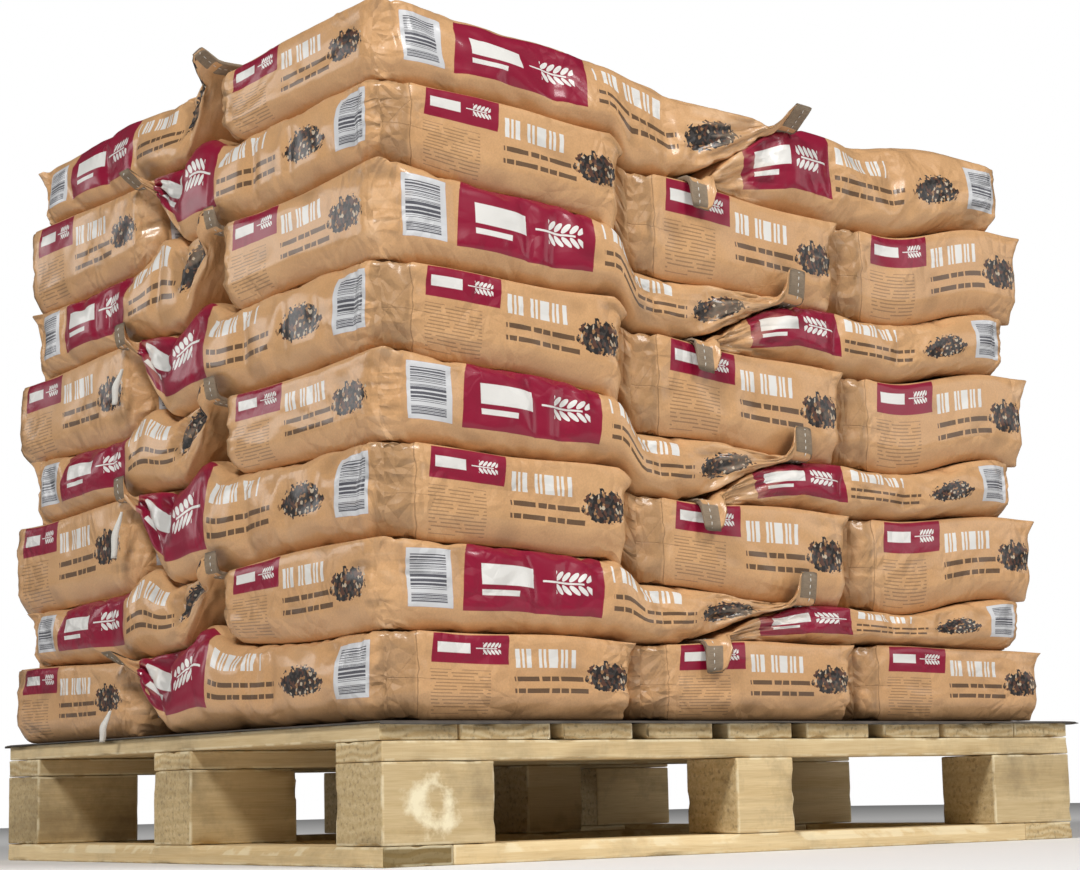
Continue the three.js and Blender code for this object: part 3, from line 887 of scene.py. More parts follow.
def lay_down(points, sack):
    """Puts points of a standing form into a sack's place in its layer. On its open side the flat
    mouth is bent up, or down, along the load's face like an ear. Its other side is pressed flat."""
    length = SACK_KINDS[sack["kind"]]["length"]
    cos, sin = math.cos(sack["yaw"]), math.sin(sack["yaw"])
    along = points[:, 0] * sack["length"] / length - sack["proud"]
    across = points[:, 1] * sack["width"] / SACK_WIDTH
    half = sack["width"] / 2
    is_open = np.sign(across) == sack["outer"]
    mouth = smooth_step(points[:, 0], *(length - place for place in EAR_TURN_ZONE)) * is_open
    out = np.maximum(np.abs(across) - half - EAR_START, 0)
    turned = np.minimum(out / EAR_BEND, math.pi / 2 * sack["ear"] * mouth)
    rest = out - turned * EAR_BEND
    middle = SACK_HEIGHT - FLANGE_SINK - FLANGE_THICKNESS / 2
    above = (points[:, 2] - middle) * (turned > 0)
    outward = EAR_BEND * np.sin(turned) + rest * np.cos(turned) - above * np.sin(turned)
    upward = EAR_BEND * (1 - np.cos(turned)) + rest * np.sin(turned) - above * (1 - np.cos(turned))
    beyond = np.maximum(np.abs(across) - half, 0)
    pressed = np.minimum(np.abs(across), half) + SACK_GAP * np.tanh(beyond / PRESSED_REACH)
    across = np.sign(across) * np.where(is_open, np.abs(across) - out + outward, pressed)
    x = sack["x"] + cos * along - sin * across
    y = sack["y"] + sin * along + cos * across
    bottom = layer_top(sack["layer"] - 1, x, y) + SACK_GAP
    top = layer_top(sack["layer"], x, y) - SACK_GAP
    share = points[:, 2] / SACK_HEIGHT
    share = np.maximum(share if sack["mouth_up"] else 1 - share, 0)
    share = share if sack["on_top"] else np.minimum(share, 1)
    depth = np.clip(1 - share / UNDERSIDE_SHARE, 0, 1)
    inset = UNDERSIDE_INSET * depth ** INSET_CURVE
    inset *= 1 - smooth_step(points[:, 0], *(length - place for place in INSET_FADE))
    x += inset * (cos * (1 - points[:, 0] / length) + sin * across / half)
    y += inset * (sin * (1 - points[:, 0] / length) - cos * across / half)
    lift = upward * (1 if sack["mouth_up"] else -1)
    lift += sack["perk"] * smooth_step(points[:, 0], length - PERK_REACH, length)
    return np.stack([x, y, bottom + share * (top - bottom) + lift], 1)


# Each sack differs a little: how far it stands out, how far its ear bends, where its folds lie and
# which of two fillings it has. On top the ears lie flatter and the short sacks' mouths perk up.
FIRST_LUCK = 500
PROUD_RANGE, EAR_RANGE = (-0.002, 0.004), (0.85, 1.0)
FOLD_SEED_STEP = 3.7
FILLING_SEEDS = (1, 11)
TOP_EAR, TOP_PERK = 0.4, 0.020


def sack_list():
    """Every sack's place: the middle of its bottom, its turn and size, and which of its sides,
    if any, is on the load's outside."""
    sacks = []
    for layer in range(1, TOP_LAYER + 1):
        odd = layer % 2 == 1
        right = ODD_LAYER_RIGHT if odd else EVEN_LAYER_RIGHT
        back = LAYER_BACKS[layer - 1]
        three, two = ("front", "back") if odd else ("back", "front")
        outer = {"left": 1 if odd else -1, "middle": 0, "right": -1 if odd else 1}
        width = (right - LOAD_LEFT) / 3
        for number, (place, lap) in enumerate(ROW_LAPS.items()):
            sacks.append({"place": f"{layer}_{three}_{place}", "layer": layer, "kind": "row",
                          "x": LOAD_LEFT + (number + 0.5) * width, "y": LOAD_FRONT if odd else back,
                          "yaw": math.pi / 2 if odd else -math.pi / 2, "width": width,
                          "length": back - LOAD_FRONT - SACK_WIDTH + lap, "mouth_up": True,
                          "outer": outer[place]})
        y = back - SACK_WIDTH / 2 if odd else LOAD_FRONT + SACK_WIDTH / 2
        for place, x, yaw, share in [("left", LOAD_LEFT, 0.0, UPPER_SHARE),
                                     ("right", right, math.pi, LOWER_SHARE)]:
            sacks.append({"place": f"{layer}_{two}_{place}", "layer": layer, "kind": "pair", "x": x, "y": y,
                          "yaw": yaw, "width": SACK_WIDTH, "length": (right - LOAD_LEFT) * share,
                          "mouth_up": place == "left", "outer": outer[place]})
    for number, sack in enumerate(sacks):
        luck = np.random.default_rng(FIRST_LUCK + number)
        sack["seed"] = FOLD_SEED_STEP * number
        sack["on_top"] = sack["layer"] == TOP_LAYER
        sack["proud"] = float(luck.uniform(*PROUD_RANGE))
        flattened = TOP_EAR if sack["on_top"] and sack["mouth_up"] else 1
        sack["ear"] = float(luck.uniform(*EAR_RANGE)) * flattened * FLAT_EARS.get(sack["place"], 1)
        sack["filling"] = FILLING_SEEDS[int(luck.integers(2))]
        sack["free"] = (1 if sack["mouth_up"] else 0) if sack["on_top"] else 2
        sack["perk"] = TOP_PERK if sack["on_top"] and sack["kind"] == "row" else 0.0
    return sacks


@functools.cache
def filled_sack(kind, seed, free):
    """A filled sack's fine skin: the points' numbers and places in the box grid, where they lie and
    their normals."""
    lines = sack_lines(kind)
    numbers, places, quads, _ = box_skin(lines)
    points = sack_form(kind, *places) + finer_shift(kind, fill_sack(kind, seed, free), lines, numbers)
    flat = np.ravel_multi_index(tuple(numbers.T), [len(line) for line in lines])
    return flat, places, points, vertex_normals(points, quads)


@functools.cache
def sack_skin(kind, outer, on_top, mouth_up):
    counts = [len(line) for line in sack_lines(kind)]
    return thinned_skin(counts, shown_cells(kind, outer, on_top, mouth_up))


def sack_mesh(sack):
    kind = sack["kind"]
    flat, box_places, points, normals = filled_sack(kind, sack["filling"], sack["free"])
    kept, faces, sides = sack_skin(kind, sack["outer"], sack["on_top"], sack["mouth_up"])
    chosen = np.searchsorted(flat, kept)
    a, b, c = (values[chosen] for values in box_places)
    folds, depth, corner = paper_creases(kind, a, b, c, normals[chosen], sack["seed"])
    laid = lay_down(points[chosen] + folds, sack)
    mesh = new_mesh(f"paper_sack_{sack['place']}", laid, faces)
    corners = np.concatenate(faces)
    corner_sides = np.repeat(sides, [len(face) for face in faces])
    level = c if sack["mouth_up"] else 1 - c
    wedge = wedge_share(kind, a)
    height = SACK_HEIGHT * (0.5 + (level - 0.5) * (1 + (MOUTH_PRINT_HEIGHT - 1) * wedge))
    end_run = SACK_WIDTH / 2 - b + END_CREASE - SACK_KINDS[kind]["crease"]
    u = np.where(corner_sides == 0, end_run[corners], a[corners])
    v = np.where(corner_sides < 2, (level * SACK_HEIGHT)[corners], height[corners])
    v = np.where(corner_sides >= 4, (b + SACK_WIDTH / 2)[corners], v)
    chart = np.array([2, 5, 0, 1, 4, 3] if sack["mouth_up"] else [2, 5, 0, 1, 3, 4])
    write_uv(mesh, "print", np.stack([u, v + chart[corner_sides] + PRINT_MARGIN], 1))
    write_values(mesh, "fold", "POINT", np.clip(depth / FULL_FOLD, -1, 1))
    write_values(mesh, "corner", "POINT", corner)
    write_values(mesh, "luck", "FACE", np.full(len(faces), sack["seed"] / 10))
    return mesh


AREA_SOCKETS = {"Place": "Vector", "Centre": "Vector", "Half": "Vector"}
INK_EDGE = 0.0004
ONE_SIDE = 0.25

# Where the print sits, in millimetres: the side's number, then from and to along and up. Side 0 is
# the right side seen from the bottom end, 1 the left one, 2 the folded bottom, 3 what lies on top
# and 4 what lies below.
CRIMSON_PANELS = [(0, 122, 330, 27, 111), (1, 388, 572, 27, 111), (2, 69, 181, 71, 108),
                  (3, 60, 250, 28, 357)]
PANEL_BARS = [(0, 146, 226, 59, 84), (0, 146, 200, 46, 53), (1, 480, 552, 59, 84), (1, 504, 552, 46, 53),
              (2, 80, 126, 84, 97), (3, 96, 150, 120, 330)]
GRAIN_EARS = [(0, 240, 312, 48, 91), (1, 403, 469, 48, 91), (2, 134, 172, 80, 102), (3, 165, 235, 120, 230)]
TITLE_ROWS = [(0, 346, 462, 72, 102), (1, 262, 380, 72, 102), (2, 187, 287, 64, 94), (3, 275, 330, 60, 330)]
TEXT_ROWS = [(0, 346, 484, 34, 64), (1, 230, 380, 34, 64), (2, 191, 306, 32, 58), (3, 345, 395, 90, 330)]
FINE_ROWS = [(2, 69, 155, 8, 63), (4, 120, 420, 60, 300)]
GRAIN_HEAPS = [(0, 488, 594, 32, 84), (1, 108, 216, 36, 82), (2, 298, 388, 38, 84), (3, 420, 560, 100, 300)]
BAR_STICKERS = [(0, 42, 104, 28, 98), (1, 28, 90, 28, 98)]

PANEL_LEAN = 0.10
BARS_PER_METRE = 1400.0
GRAINS_PER_METRE = 260.0
GRAIN_TINTS = {0: (0.018, 0.014, 0.013, 1), 0.46: (0.10, 0.042, 0.026, 1), 0.62: (0.05, 0.042, 0.038, 1),
               0.84: (0.34, 0.18, 0.08, 1), 0.94: (0.55, 0.45, 0.33, 1)}
CRIMSON, WHITE, DARK_BROWN = (0.272, 0.003, 0.031, 1), (0.80, 0.79, 0.76, 1), (0.05, 0.028, 0.018, 1)
STICKER_GREY, BAR_GREY = (0.66, 0.67, 0.69, 1), (0.10, 0.10, 0.12, 1)
TEXT_COVER, FINE_COVER = 0.84, 0.42


def rectangle_pattern(nodes, given):
    """A soft-edged rectangle. Centre and Half are in metres, with the side's number as third."""
    local = nodes.vector("SUBTRACT", given["Place"], given["Centre"])
    past = nodes.parts(nodes.vector("SUBTRACT", nodes.vector("ABSOLUTE", local), given["Half"]))
    mask = nodes.ranged(nodes.maths("MAXIMUM", *past), -INK_EDGE, INK_EDGE, 1.0, 0.0)
    return {"Mask": mask, "Local": local}


rectangle = pattern_group("rectangle", AREA_SOCKETS, {"Mask": "Float", "Local": "Vector"}, rectangle_pattern)


def in_area(nodes, given):
    """The rectangle that bounds another shape."""
    area = {key: given[key] for key in AREA_SOCKETS}
    return nodes.add("ShaderNodeGroup", area, node_tree=rectangle).outputs


def dashes_pattern(nodes, given):
    """Rows of plain dashes in a rectangle, standing in for printed words."""
    maths, area = nodes.maths, in_area(nodes, given)
    along, up, _ = nodes.parts(area["Local"])
    row = maths("ADD", maths("DIVIDE", up, given["Row"]), given["Shift"])
    off_middle = maths("ABSOLUTE", maths("SUBTRACT", maths("FRACT", row), 0.5))
    start = maths("MULTIPLY", maths("FLOOR", row), 0.618)
    word = maths("ADD", start, maths("DIVIDE", along, given["Word"]))
    uneven = maths("MULTIPLY", maths("SINE", maths("MULTIPLY", word, 2.3)), 0.35)
    dash = maths("LESS_THAN", maths("FRACT", maths("ADD", uneven, word)), given["Fill"])
    return {"Mask": maths("MULTIPLY", maths("LESS_THAN", off_middle, given["Weight"]), dash, area["Mask"])}


def ear_pattern(nodes, given):
    """A plain ear of grain: two rows of slanted kernels on a stem."""
    maths, area = nodes.maths, in_area(nodes, given)
    x, y, _ = nodes.parts(nodes.vector("DIVIDE", area["Local"], given["Half"]))
    y = maths("ABSOLUTE", y)
    slanted = maths("SUBTRACT", maths("MULTIPLY", x, 3.2), maths("MULTIPLY", y, 1.5))
    kernel = maths("DIVIDE", maths("SUBTRACT", maths("FRACT", slanted), 0.5), 0.40)
    beside = maths("DIVIDE", maths("SUBTRACT", y, 0.40), 0.30)
    off_kernel = maths("ADD", maths("MULTIPLY", kernel, kernel), maths("MULTIPLY", beside, beside))
    kernels = maths("MULTIPLY", maths("LESS_THAN", off_kernel, 1.0), maths("GREATER_THAN", x, -0.45))
    stem = maths("MULTIPLY", maths("LESS_THAN", y, 0.06), maths("LESS_THAN", x, 0.7))
    return {"Mask": maths("MULTIPLY", maths("MAXIMUM", kernels, stem), area["Mask"])}


def heap_pattern(nodes, given):
    """A round mound of grain, steep below and flat above, whose edge is ragged with specks."""
    maths, area = nodes.maths, in_area(nodes, given)
    x, y, _ = nodes.parts(nodes.vector("DIVIDE", area["Local"], given["Half"]))
    from_foot = maths("ADD", y, 0.35)
    low = maths("MULTIPLY", maths("MINIMUM", from_foot, 0.0), 1.4)
    high = maths("MULTIPLY", maths("MAXIMUM", from_foot, 0.0), 0.78)
    reach = maths("ADD", *(maths("MULTIPLY", value, value) for value in (x, low, high)))
    limit = maths("ADD", maths("MULTIPLY", given["Speck"], 0.55), 0.42)
    return {"Mask": maths("MULTIPLY", maths("LESS_THAN", reach, limit), area["Mask"])}


mask_alone = {"Mask": "Float"}
dashes = pattern_group("rows of dashes", {**AREA_SOCKETS, "Row": "Float", "Shift": "Float", "Weight": "Float",
                                          "Word": "Float", "Fill": "Float"}, mask_alone, dashes_pattern)
grain_ear = pattern_group("ear of grain", AREA_SOCKETS, mask_alone, ear_pattern)
grain_heap = pattern_group("heap of grain", {**AREA_SOCKETS, "Speck": "Float"}, mask_alone, heap_pattern)


def print_pattern(nodes, given):
    """The sack's print. Gives the ink's colour and how much of it covers the paper."""
    maths = nodes.maths
    run, rise, _ = nodes.parts(nodes.uv("print"))
    side, height = maths("FLOOR", rise), maths("SUBTRACT", maths("FRACT", rise), PRINT_MARGIN)
    place = nodes.joined(run, height, side)
    lean = maths("MULTIPLY", maths("SUBTRACT", height, SACK_HEIGHT / 2), PANEL_LEAN)
    leaning = nodes.joined(maths("SUBTRACT", run, lean), height, side)

    def cover(shape, areas, spot=place, **values):
        """The mask of one shape in each of its areas."""
        masks = []
        for number, left, right, low, high in areas:
            area = {"Place": spot, "Centre": ((left + right) / 2000, (low + high) / 2000, number),
                    "Half": ((right - left) / 2000, (high - low) / 2000, ONE_SIDE)}
            masks.append(nodes.add("ShaderNodeGroup", {**area, **values}, node_tree=shape).outputs["Mask"])
        return maths("MAXIMUM", *masks)

    titles = cover(dashes, TITLE_ROWS, Row=0.036, Shift=0.5, Weight=0.33, Word=0.0115, Fill=0.56)
    text = cover(dashes, TEXT_ROWS, Row=0.0155, Shift=0.0, Weight=0.20, Word=0.023, Fill=0.84)
    fine = cover(dashes, FINE_ROWS, Row=0.0042, Shift=0.0, Weight=0.18, Word=0.06, Fill=0.84)
    white = maths("MAXIMUM", cover(rectangle, PANEL_BARS), cover(grain_ear, GRAIN_EARS), titles)
    grains = nodes.add("ShaderNodeTexVoronoi", {"Vector": place, "Scale": GRAINS_PER_METRE},
                       voronoi_dimensions="2D").outputs["Color"]
    size, shade, _ = nodes.add("ShaderNodeSeparateColor", {0: grains}).outputs
    tints = nodes.add("ShaderNodeValToRGB", {"Fac": shade})
    tints.color_ramp.interpolation = "CONSTANT"
    tints.color_ramp.elements.remove(tints.color_ramp.elements[1])
    for position, tint in GRAIN_TINTS.items():
        stop = tints.color_ramp.elements.new(position) if position else tints.color_ramp.elements[0]
        stop.color = tint
    heaps = cover(grain_heap, GRAIN_HEAPS, Speck=size)
    stickers = cover(rectangle, BAR_STICKERS)
    codes = [(number, left + 5, right - 9, low + 6, high - 6)
             for number, left, right, low, high in BAR_STICKERS]
    step = nodes.vector("FLOOR", nodes.joined(maths("MULTIPLY", height, BARS_PER_METRE)))
    chance = nodes.add("ShaderNodeTexWhiteNoise", {"Vector": step}, noise_dimensions="3D").outputs[0]
    bars = maths("MULTIPLY", cover(rectangle, codes), maths("LESS_THAN", chance, 0.55))
    colour = CRIMSON
    for mask, ink in ((white, WHITE), (maths("MAXIMUM", text, fine), DARK_BROWN), (heaps, tints.outputs[0]),
                      (stickers, STICKER_GREY), (bars, BAR_GREY)):
        colour = nodes.mixed(mask, colour, ink)
    panels = cover(rectangle, CRIMSON_PANELS, leaning)
    faint = [maths("MULTIPLY", text, TEXT_COVER), maths("MULTIPLY", fine, FINE_COVER)]
    return {"Color": colour, "Cover": maths("MAXIMUM", panels, white, *faint, heaps, stickers)}


# The paper's creases: how many facets to a metre, how steep they are, how deep wrinkles, the pleats
# towards the mouth and the step at the glued fold are, and where along the sack the pleats begin
FACETS_PER_METRE = 17.0
SMALL_FACETS_PER_METRE = 44.2
FACET_SLOPE = 0.15
WRINKLE_DEPTH = 0.017
PLEAT_DEPTH = 0.010
PLEATS_FROM, PLEATS_FULL = 0.40, 0.56
PAPER_STEP = 0.0008

# The glued bottom's fold lines: how high the level one lies and how far it reaches, where the
# slanting one starts, and how dark the painted shade along both is beside the upright one
LEVEL_LINE, LEVEL_REACH = 0.050, 0.075
CORNER_LINE = END_CREASE - 0.084
LEVEL_LINE_SHADE, CORNER_LINE_SHADE = 0.6, 0.4


def folds_pattern(nodes, given):
    """The paper's sharp folds: flat facets with straight creases between them, fine level wrinkles
    at the upright corners, and the glued fold lines on the bottom. Gives the height in metres and
    how much painted shade lies along the fold lines."""
    maths, vector = nodes.maths, nodes.vector

    def within(value, middle, reach, soft):
        off = maths("ABSOLUTE", maths("SUBTRACT", value, middle))
        return nodes.ranged(off, reach, reach + soft, 1.0, 0.0)

    def flat_noise(place, scale, detail, output="Fac"):
        return nodes.noise(place, scale, detail, output, "2D")

    def ridges(place, stretch, detail):
        wave = flat_noise(vector("MULTIPLY", place, stretch), 1.0, detail)
        return maths("ABSOLUTE", maths("SUBTRACT", wave, 0.5))

    def facets(place, scale):
        given = {"Vector": place, "Scale": scale}
        return nodes.add("ShaderNodeTexVoronoi", given, feature="DISTANCE_TO_EDGE",
                         voronoi_dimensions="2D").outputs["Distance"]

    corner, luck, uv = nodes.attribute("corner"), nodes.attribute("luck"), nodes.uv("print")
    run, chart, _ = nodes.parts(uv)
    rise = maths("SUBTRACT", maths("FRACT", chart), PRINT_MARGIN)
    spot = vector("ADD", uv, nodes.joined(luck, maths("MULTIPLY", luck, 1.7)))
    sway = vector("MULTIPLY", flat_noise(spot, 14.0, 1.0, "Color"), (0.03, 0.03, 0))
    swayed = vector("ADD", spot, sway)
    patch = nodes.ranged(flat_noise(spot, 8.0, 1.0), 0.42, 0.62)
    creased = maths("ADD", maths("MULTIPLY", maths("MAXIMUM", patch, corner), 0.75), 0.25)
    large = facets(vector("MULTIPLY", swayed, (0.62, 1.0, 1)), FACETS_PER_METRE)
    large = maths("MULTIPLY", large, FACET_SLOPE / FACETS_PER_METRE, creased)
    ends = maths("ADD", maths("MULTIPLY", corner, 0.8), maths("MULTIPLY", patch, 0.5))
    small = facets(swayed, SMALL_FACETS_PER_METRE)
    small = maths("MULTIPLY", small, FACET_SLOPE / FACETS_PER_METRE / 1.6, ends)
    wrinkles = maths("MULTIPLY", ridges(swayed, (7, 44, 1), 0.6), -WRINKLE_DEPTH, corner, patch)
    near_mouth = nodes.ranged(run, PLEATS_FROM, PLEATS_FULL)
    pleats = maths("MULTIPLY", ridges(spot, (4.5, 30, 1), 1.0), -PLEAT_DEPTH, near_mouth)
    bottom = within(maths("FLOOR", chart), 2.0, 0.2, 0.1)
    glued = maths("MULTIPLY", bottom, maths("GREATER_THAN", run, END_CREASE))
    upright = within(run, END_CREASE, 0.0003, 0.0006)
    level = within(rise, LEVEL_LINE, 0.0002, 0.0006)
    level = maths("MULTIPLY", level, maths("LESS_THAN", run, LEVEL_REACH), LEVEL_LINE_SHADE)
    slanting = within(maths("SUBTRACT", run, rise), CORNER_LINE, 0.0002, 0.0007)
    slanting = maths("MULTIPLY", slanting, maths("LESS_THAN", run, END_CREASE), CORNER_LINE_SHADE)
    # The fold lines make a small step in the height and also carry painted shade for the colour
    lines = maths("MULTIPLY", maths("MAXIMUM", upright, level, slanting), bottom)
    folded = maths("MULTIPLY", maths("SUBTRACT", glued, lines), PAPER_STEP)
    return {"Height": maths("ADD", large, small, wrinkles, pleats, folded), "Line": lines}


sack_print = pattern_group("sack print", {}, {"Color": "Color", "Cover": "Float"}, print_pattern)
paper_folds = pattern_group("paper folds", {}, {"Height": "Float", "Line": "Float"}, folds_pattern)


def paper_pattern(nodes):
    """Brown kraft paper, printed. Its fold ridges are painted a little paler, partly as rubbed wear and
    partly as painted highlight; its hollows hold a little painted shade, and the glued bottom's fold
    lines hold a thin painted shade."""
    place, fold = nodes.place(), nodes.attribute("fold")
    cloudy = nodes.noise(place, 9.0, 5.0, Roughness=0.6)
    fibres = nodes.ranged(nodes.noise(place, 420.0, 3.0), 0.3, 0.7, 0.93, 1.06)
    colour = nodes.mixed(cloudy, (0.575, 0.313, 0.139, 1), (0.70, 0.418, 0.205, 1))
    colour = nodes.mixed(1.0, colour, fibres, "MULTIPLY")
    printed = nodes.add("ShaderNodeGroup", node_tree=sack_print).outputs
    colour = nodes.mixed(printed["Cover"], colour, printed["Color"])
    # Fold ridges turn paler, partly rubbed wear and partly painted highlight; hollows darken with painted
    # shade
    colour = nodes.mixed(nodes.ranged(fold, 0.45, 1.0, 0.0, 0.22), colour, (0.80, 0.60, 0.42, 1))
    colour = nodes.mixed(1.0, colour, nodes.ranged(fold, -0.9, -0.25, 0.70), "MULTIPLY")
    folds = nodes.add("ShaderNodeGroup", node_tree=paper_folds).outputs
    # Painted shade along the glued bottom's fold lines
    colour = nodes.mixed(nodes.maths("MULTIPLY", folds["Line"], 0.26), colour, (0.14, 0.06, 0.025, 1))
    waved = {"Vector": nodes.scaled(place, (1, 1, 1.6)), "Scale": 22.0, "Detail": 2.0, "Distortion": 0.4}
    soft = nodes.add("ShaderNodeTexNoise", waved, noise_type="RIDGED_MULTIFRACTAL").outputs[0]
    return {"Base Color": colour, "Roughness": nodes.ranged(cloudy, 0.3, 0.7, 0.40, 0.52),
            "Normal": nodes.bump(folds["Height"], 1.0, 1.0, Normal=nodes.bump(soft, 0.25, 0.0014))}


kraft_paper = made_of("coated kraft paper", paper_pattern, Specular_IOR_Level=0.32, Coat_Weight=0.45,
                      Coat_Roughness=0.16)
for sack in sack_list():
    piece = new_piece(f"paper_sack_{sack['place']}", sack_mesh(sack), kraft_paper)
    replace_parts(piece, f"sack_{sack['place']}")

# Mouth tapes
# A strip of grey-brown crepe paper is folded over each sewn mouth. It follows the flat mouth from
# ear to ear and is sewn through with a white thread.

TAPE_WIDTH = 0.029
TAPE_GAP = 0.0002
TAPE_THICKNESS = 0.0006
CREPE_DEPTH = 0.00035
SEAM_FROM_EDGE = 0.012
SEAM_OUT = 0.0014
SEAM_STEPS, SEAM_EAR_STEPS = 40, 10
STITCH_SIZES = {"Pitch": 0.009, "Thread Radius": 0.0007, "Stretch": 4.2}


def tape_mesh(sack):
    """The outside of the flat mouth, moved outwards, as a closed strip of its own thickness."""
    kind = sack["kind"]
    length = SACK_KINDS[kind]["length"]
    lines = [np.linspace(length - TAPE_WIDTH, length, 6), sack_lines(kind)[1], np.linspace(0, 1, 9)]
    numbers, (a, b, c), quads, sides = box_skin(lines)
    points = sack_form(kind, a, b, c)
    quads = quads[sides != 0]
    normals = vertex_normals(points, quads)
    crepe_wave = value_noise(np.stack([a, b, c * 0.05], 1) * (60, 260, 90), sack["seed"])
    inner = points + normals * TAPE_GAP
    outer = points + normals * (TAPE_GAP + TAPE_THICKNESS + CREPE_DEPTH * (1 + crepe_wave))[:, None]
    number = {tuple(place): index for index, place in enumerate(numbers)}
    last_b, last_c = len(lines[1]) - 1, len(lines[2]) - 1
    rim = [(0, across, 0) for across in range(last_b)] + [(0, last_b, up) for up in range(last_c)]
    rim += [(0, across, last_c) for across in range(last_b, 0, -1)]
    rim += [(0, 0, up) for up in range(last_c, 0, -1)]
    rim = np.array([number[place] for place in rim])
    following = np.roll(rim, -1)
    edge = np.stack([rim, following, following + len(points), rim + len(points)], 1)
    faces = np.concatenate([quads, quads[:, ::-1] + len(points), edge])
    used, corners = np.unique(faces, return_inverse=True)
    laid = lay_down(np.concatenate([outer, inner])[used], sack)
    mesh = new_mesh(f"mouth_tape_{sack['place']}", laid, corners.reshape(-1, 4))
    run = np.concatenate([np.stack([a, b + c * 0.3], 1)] * 2)
    write_uv(mesh, "tape", run[faces.ravel()])
    return mesh


def seam_line(sack):
    """The closed line of the seam round a flat mouth, on the outside of its tape."""
    half = SACK_WIDTH / 2
    flat = np.linspace(-half, half, SEAM_STEPS)
    round_ear = np.linspace(0, 1, SEAM_EAR_STEPS + 2)[1:-1]
    b = np.concatenate([flat, np.full(SEAM_EAR_STEPS, half), flat[::-1], np.full(SEAM_EAR_STEPS, -half)])
    c = np.concatenate([np.zeros(SEAM_STEPS), round_ear, np.ones(SEAM_STEPS), round_ear[::-1]])
    a = np.full(len(b), SACK_KINDS[sack["kind"]]["length"] - SEAM_FROM_EDGE)
    points = sack_form(sack["kind"], a, b, c)
    ahead = np.roll(points, -1, 0) - np.roll(points, 1, 0)
    outward = np.cross(ahead, (1, 0, 0))
    outward /= np.maximum(np.linalg.norm(outward, axis=1, keepdims=True), 1e-9)
    return lay_down(points + outward * SEAM_OUT, sack)


def crepe_pattern(nodes):
    """Grey-brown crepe paper, finely ribbed across the strip and matt."""
    uv = nodes.uv("tape")
    ribs = nodes.noise(nodes.scaled(uv, (90, 900, 1)), 1.0)
    colour = nodes.mixed(nodes.noise(uv, 45.0, 3.0), (0.19, 0.14, 0.092, 1), (0.37, 0.285, 0.20, 1))
    return {"Base Color": nodes.mixed(1.0, colour, nodes.ranged(ribs, 0.3, 0.7, 0.78, 1.15), "MULTIPLY"),
            "Roughness": nodes.ranged(ribs, to_low=0.7, to_high=0.9), "Normal": nodes.bump(ribs, 0.6, 0.0008)}


def thread_pattern(nodes):
    """Off-white cotton thread, twisted."""
    twist = nodes.noise(nodes.place(), 900.0)
    return {"Base Color": nodes.mixed(twist, (0.62, 0.60, 0.55, 1), (0.86, 0.85, 0.80, 1)),
            "Roughness": nodes.ranged(twist, to_low=0.6, to_high=0.85)}


def stitch_row(nodes, given):
    """One stitch, a long grain of thread, at each pitch of a line."""
    line = nodes.add("GeometryNodeMeshToCurve", {0: given[0]}).outputs[0]
    spaced = nodes.add("GeometryNodeResampleCurve", {"Curve": line, "Length": given["Pitch"]}, mode="LENGTH")
    tangent = nodes.add("GeometryNodeInputTangent").outputs[0]
    turned = nodes.add("FunctionNodeAlignRotationToVector", {"Vector": tangent}, axis="X")
    grain = nodes.add("GeometryNodeMeshIcoSphere", {"Radius": given["Thread Radius"], "Subdivisions": 1})
    stretch = nodes.joined(given["Stretch"], 1.0, 1.0)
    long = nodes.add("GeometryNodeTransform", {"Geometry": grain.outputs[0], "Scale": stretch})
    smooth = nodes.add("GeometryNodeSetShadeSmooth", {0: long.outputs[0]})
    return nodes.add("GeometryNodeInstanceOnPoints", {
        "Points": spaced.outputs[0], "Instance": smooth.outputs[0], "Rotation": turned.outputs[0]}).outputs[0]


crepe = made_of("crepe tape", crepe_pattern)
thread = made_of("white thread", thread_pattern)
stitching = geometry_tree("stitches", STITCH_SIZES, thread, stitch_row)
for layer in range(1, len(LAYER_TOPS)):
    seam_points, seam_edges = [], []
    for sack in sack_list():
        if sack["layer"] != layer:
            continue
        new_piece(f"mouth_tape_{sack['place']}", tape_mesh(sack), crepe)
        line = seam_line(sack)
        first = len(seam_points)
        seam_edges += [(first + i, first + (i + 1) % len(line)) for i in range(len(line))]
        seam_points += line.tolist()
    lines_mesh = bpy.data.meshes.new(f"seam_lines_{layer}")
    lines_mesh.from_pydata(seam_points, seam_edges, [])
    stitches = grown(f"mouth_stitches_{layer}", lines_mesh, stitching, STITCH_SIZES)
    new_piece(f"mouth_stitches_{layer}", stitches, thread)

# Pull strips
# A white cotton strip that opens the seam is sewn into each mouth. At three of them its loose end
# comes out of the groove below the tape and hangs down beside the next sack.

# Where each strip's loose end starts below its seam, and how long it is
STRIP_DROPS = {"1_front_left": (0.078, 0.042), "3_front_left": (0.046, 0.064), "5_front_left": (0.062, 0.050)}
STRIP_WIDTH = 0.0100
STRIP_THICKNESS = 0.0010
STRIP_STEPS = 12
STRIP_TURN = -1.0
STRIP_TWIST = 0.3
STRIP_SIDEWAYS = 0.009
STRIP_ROOT = (-0.007, -0.012)
STRIP_CURL = 0.008
STRIP_WAVE = 0.001

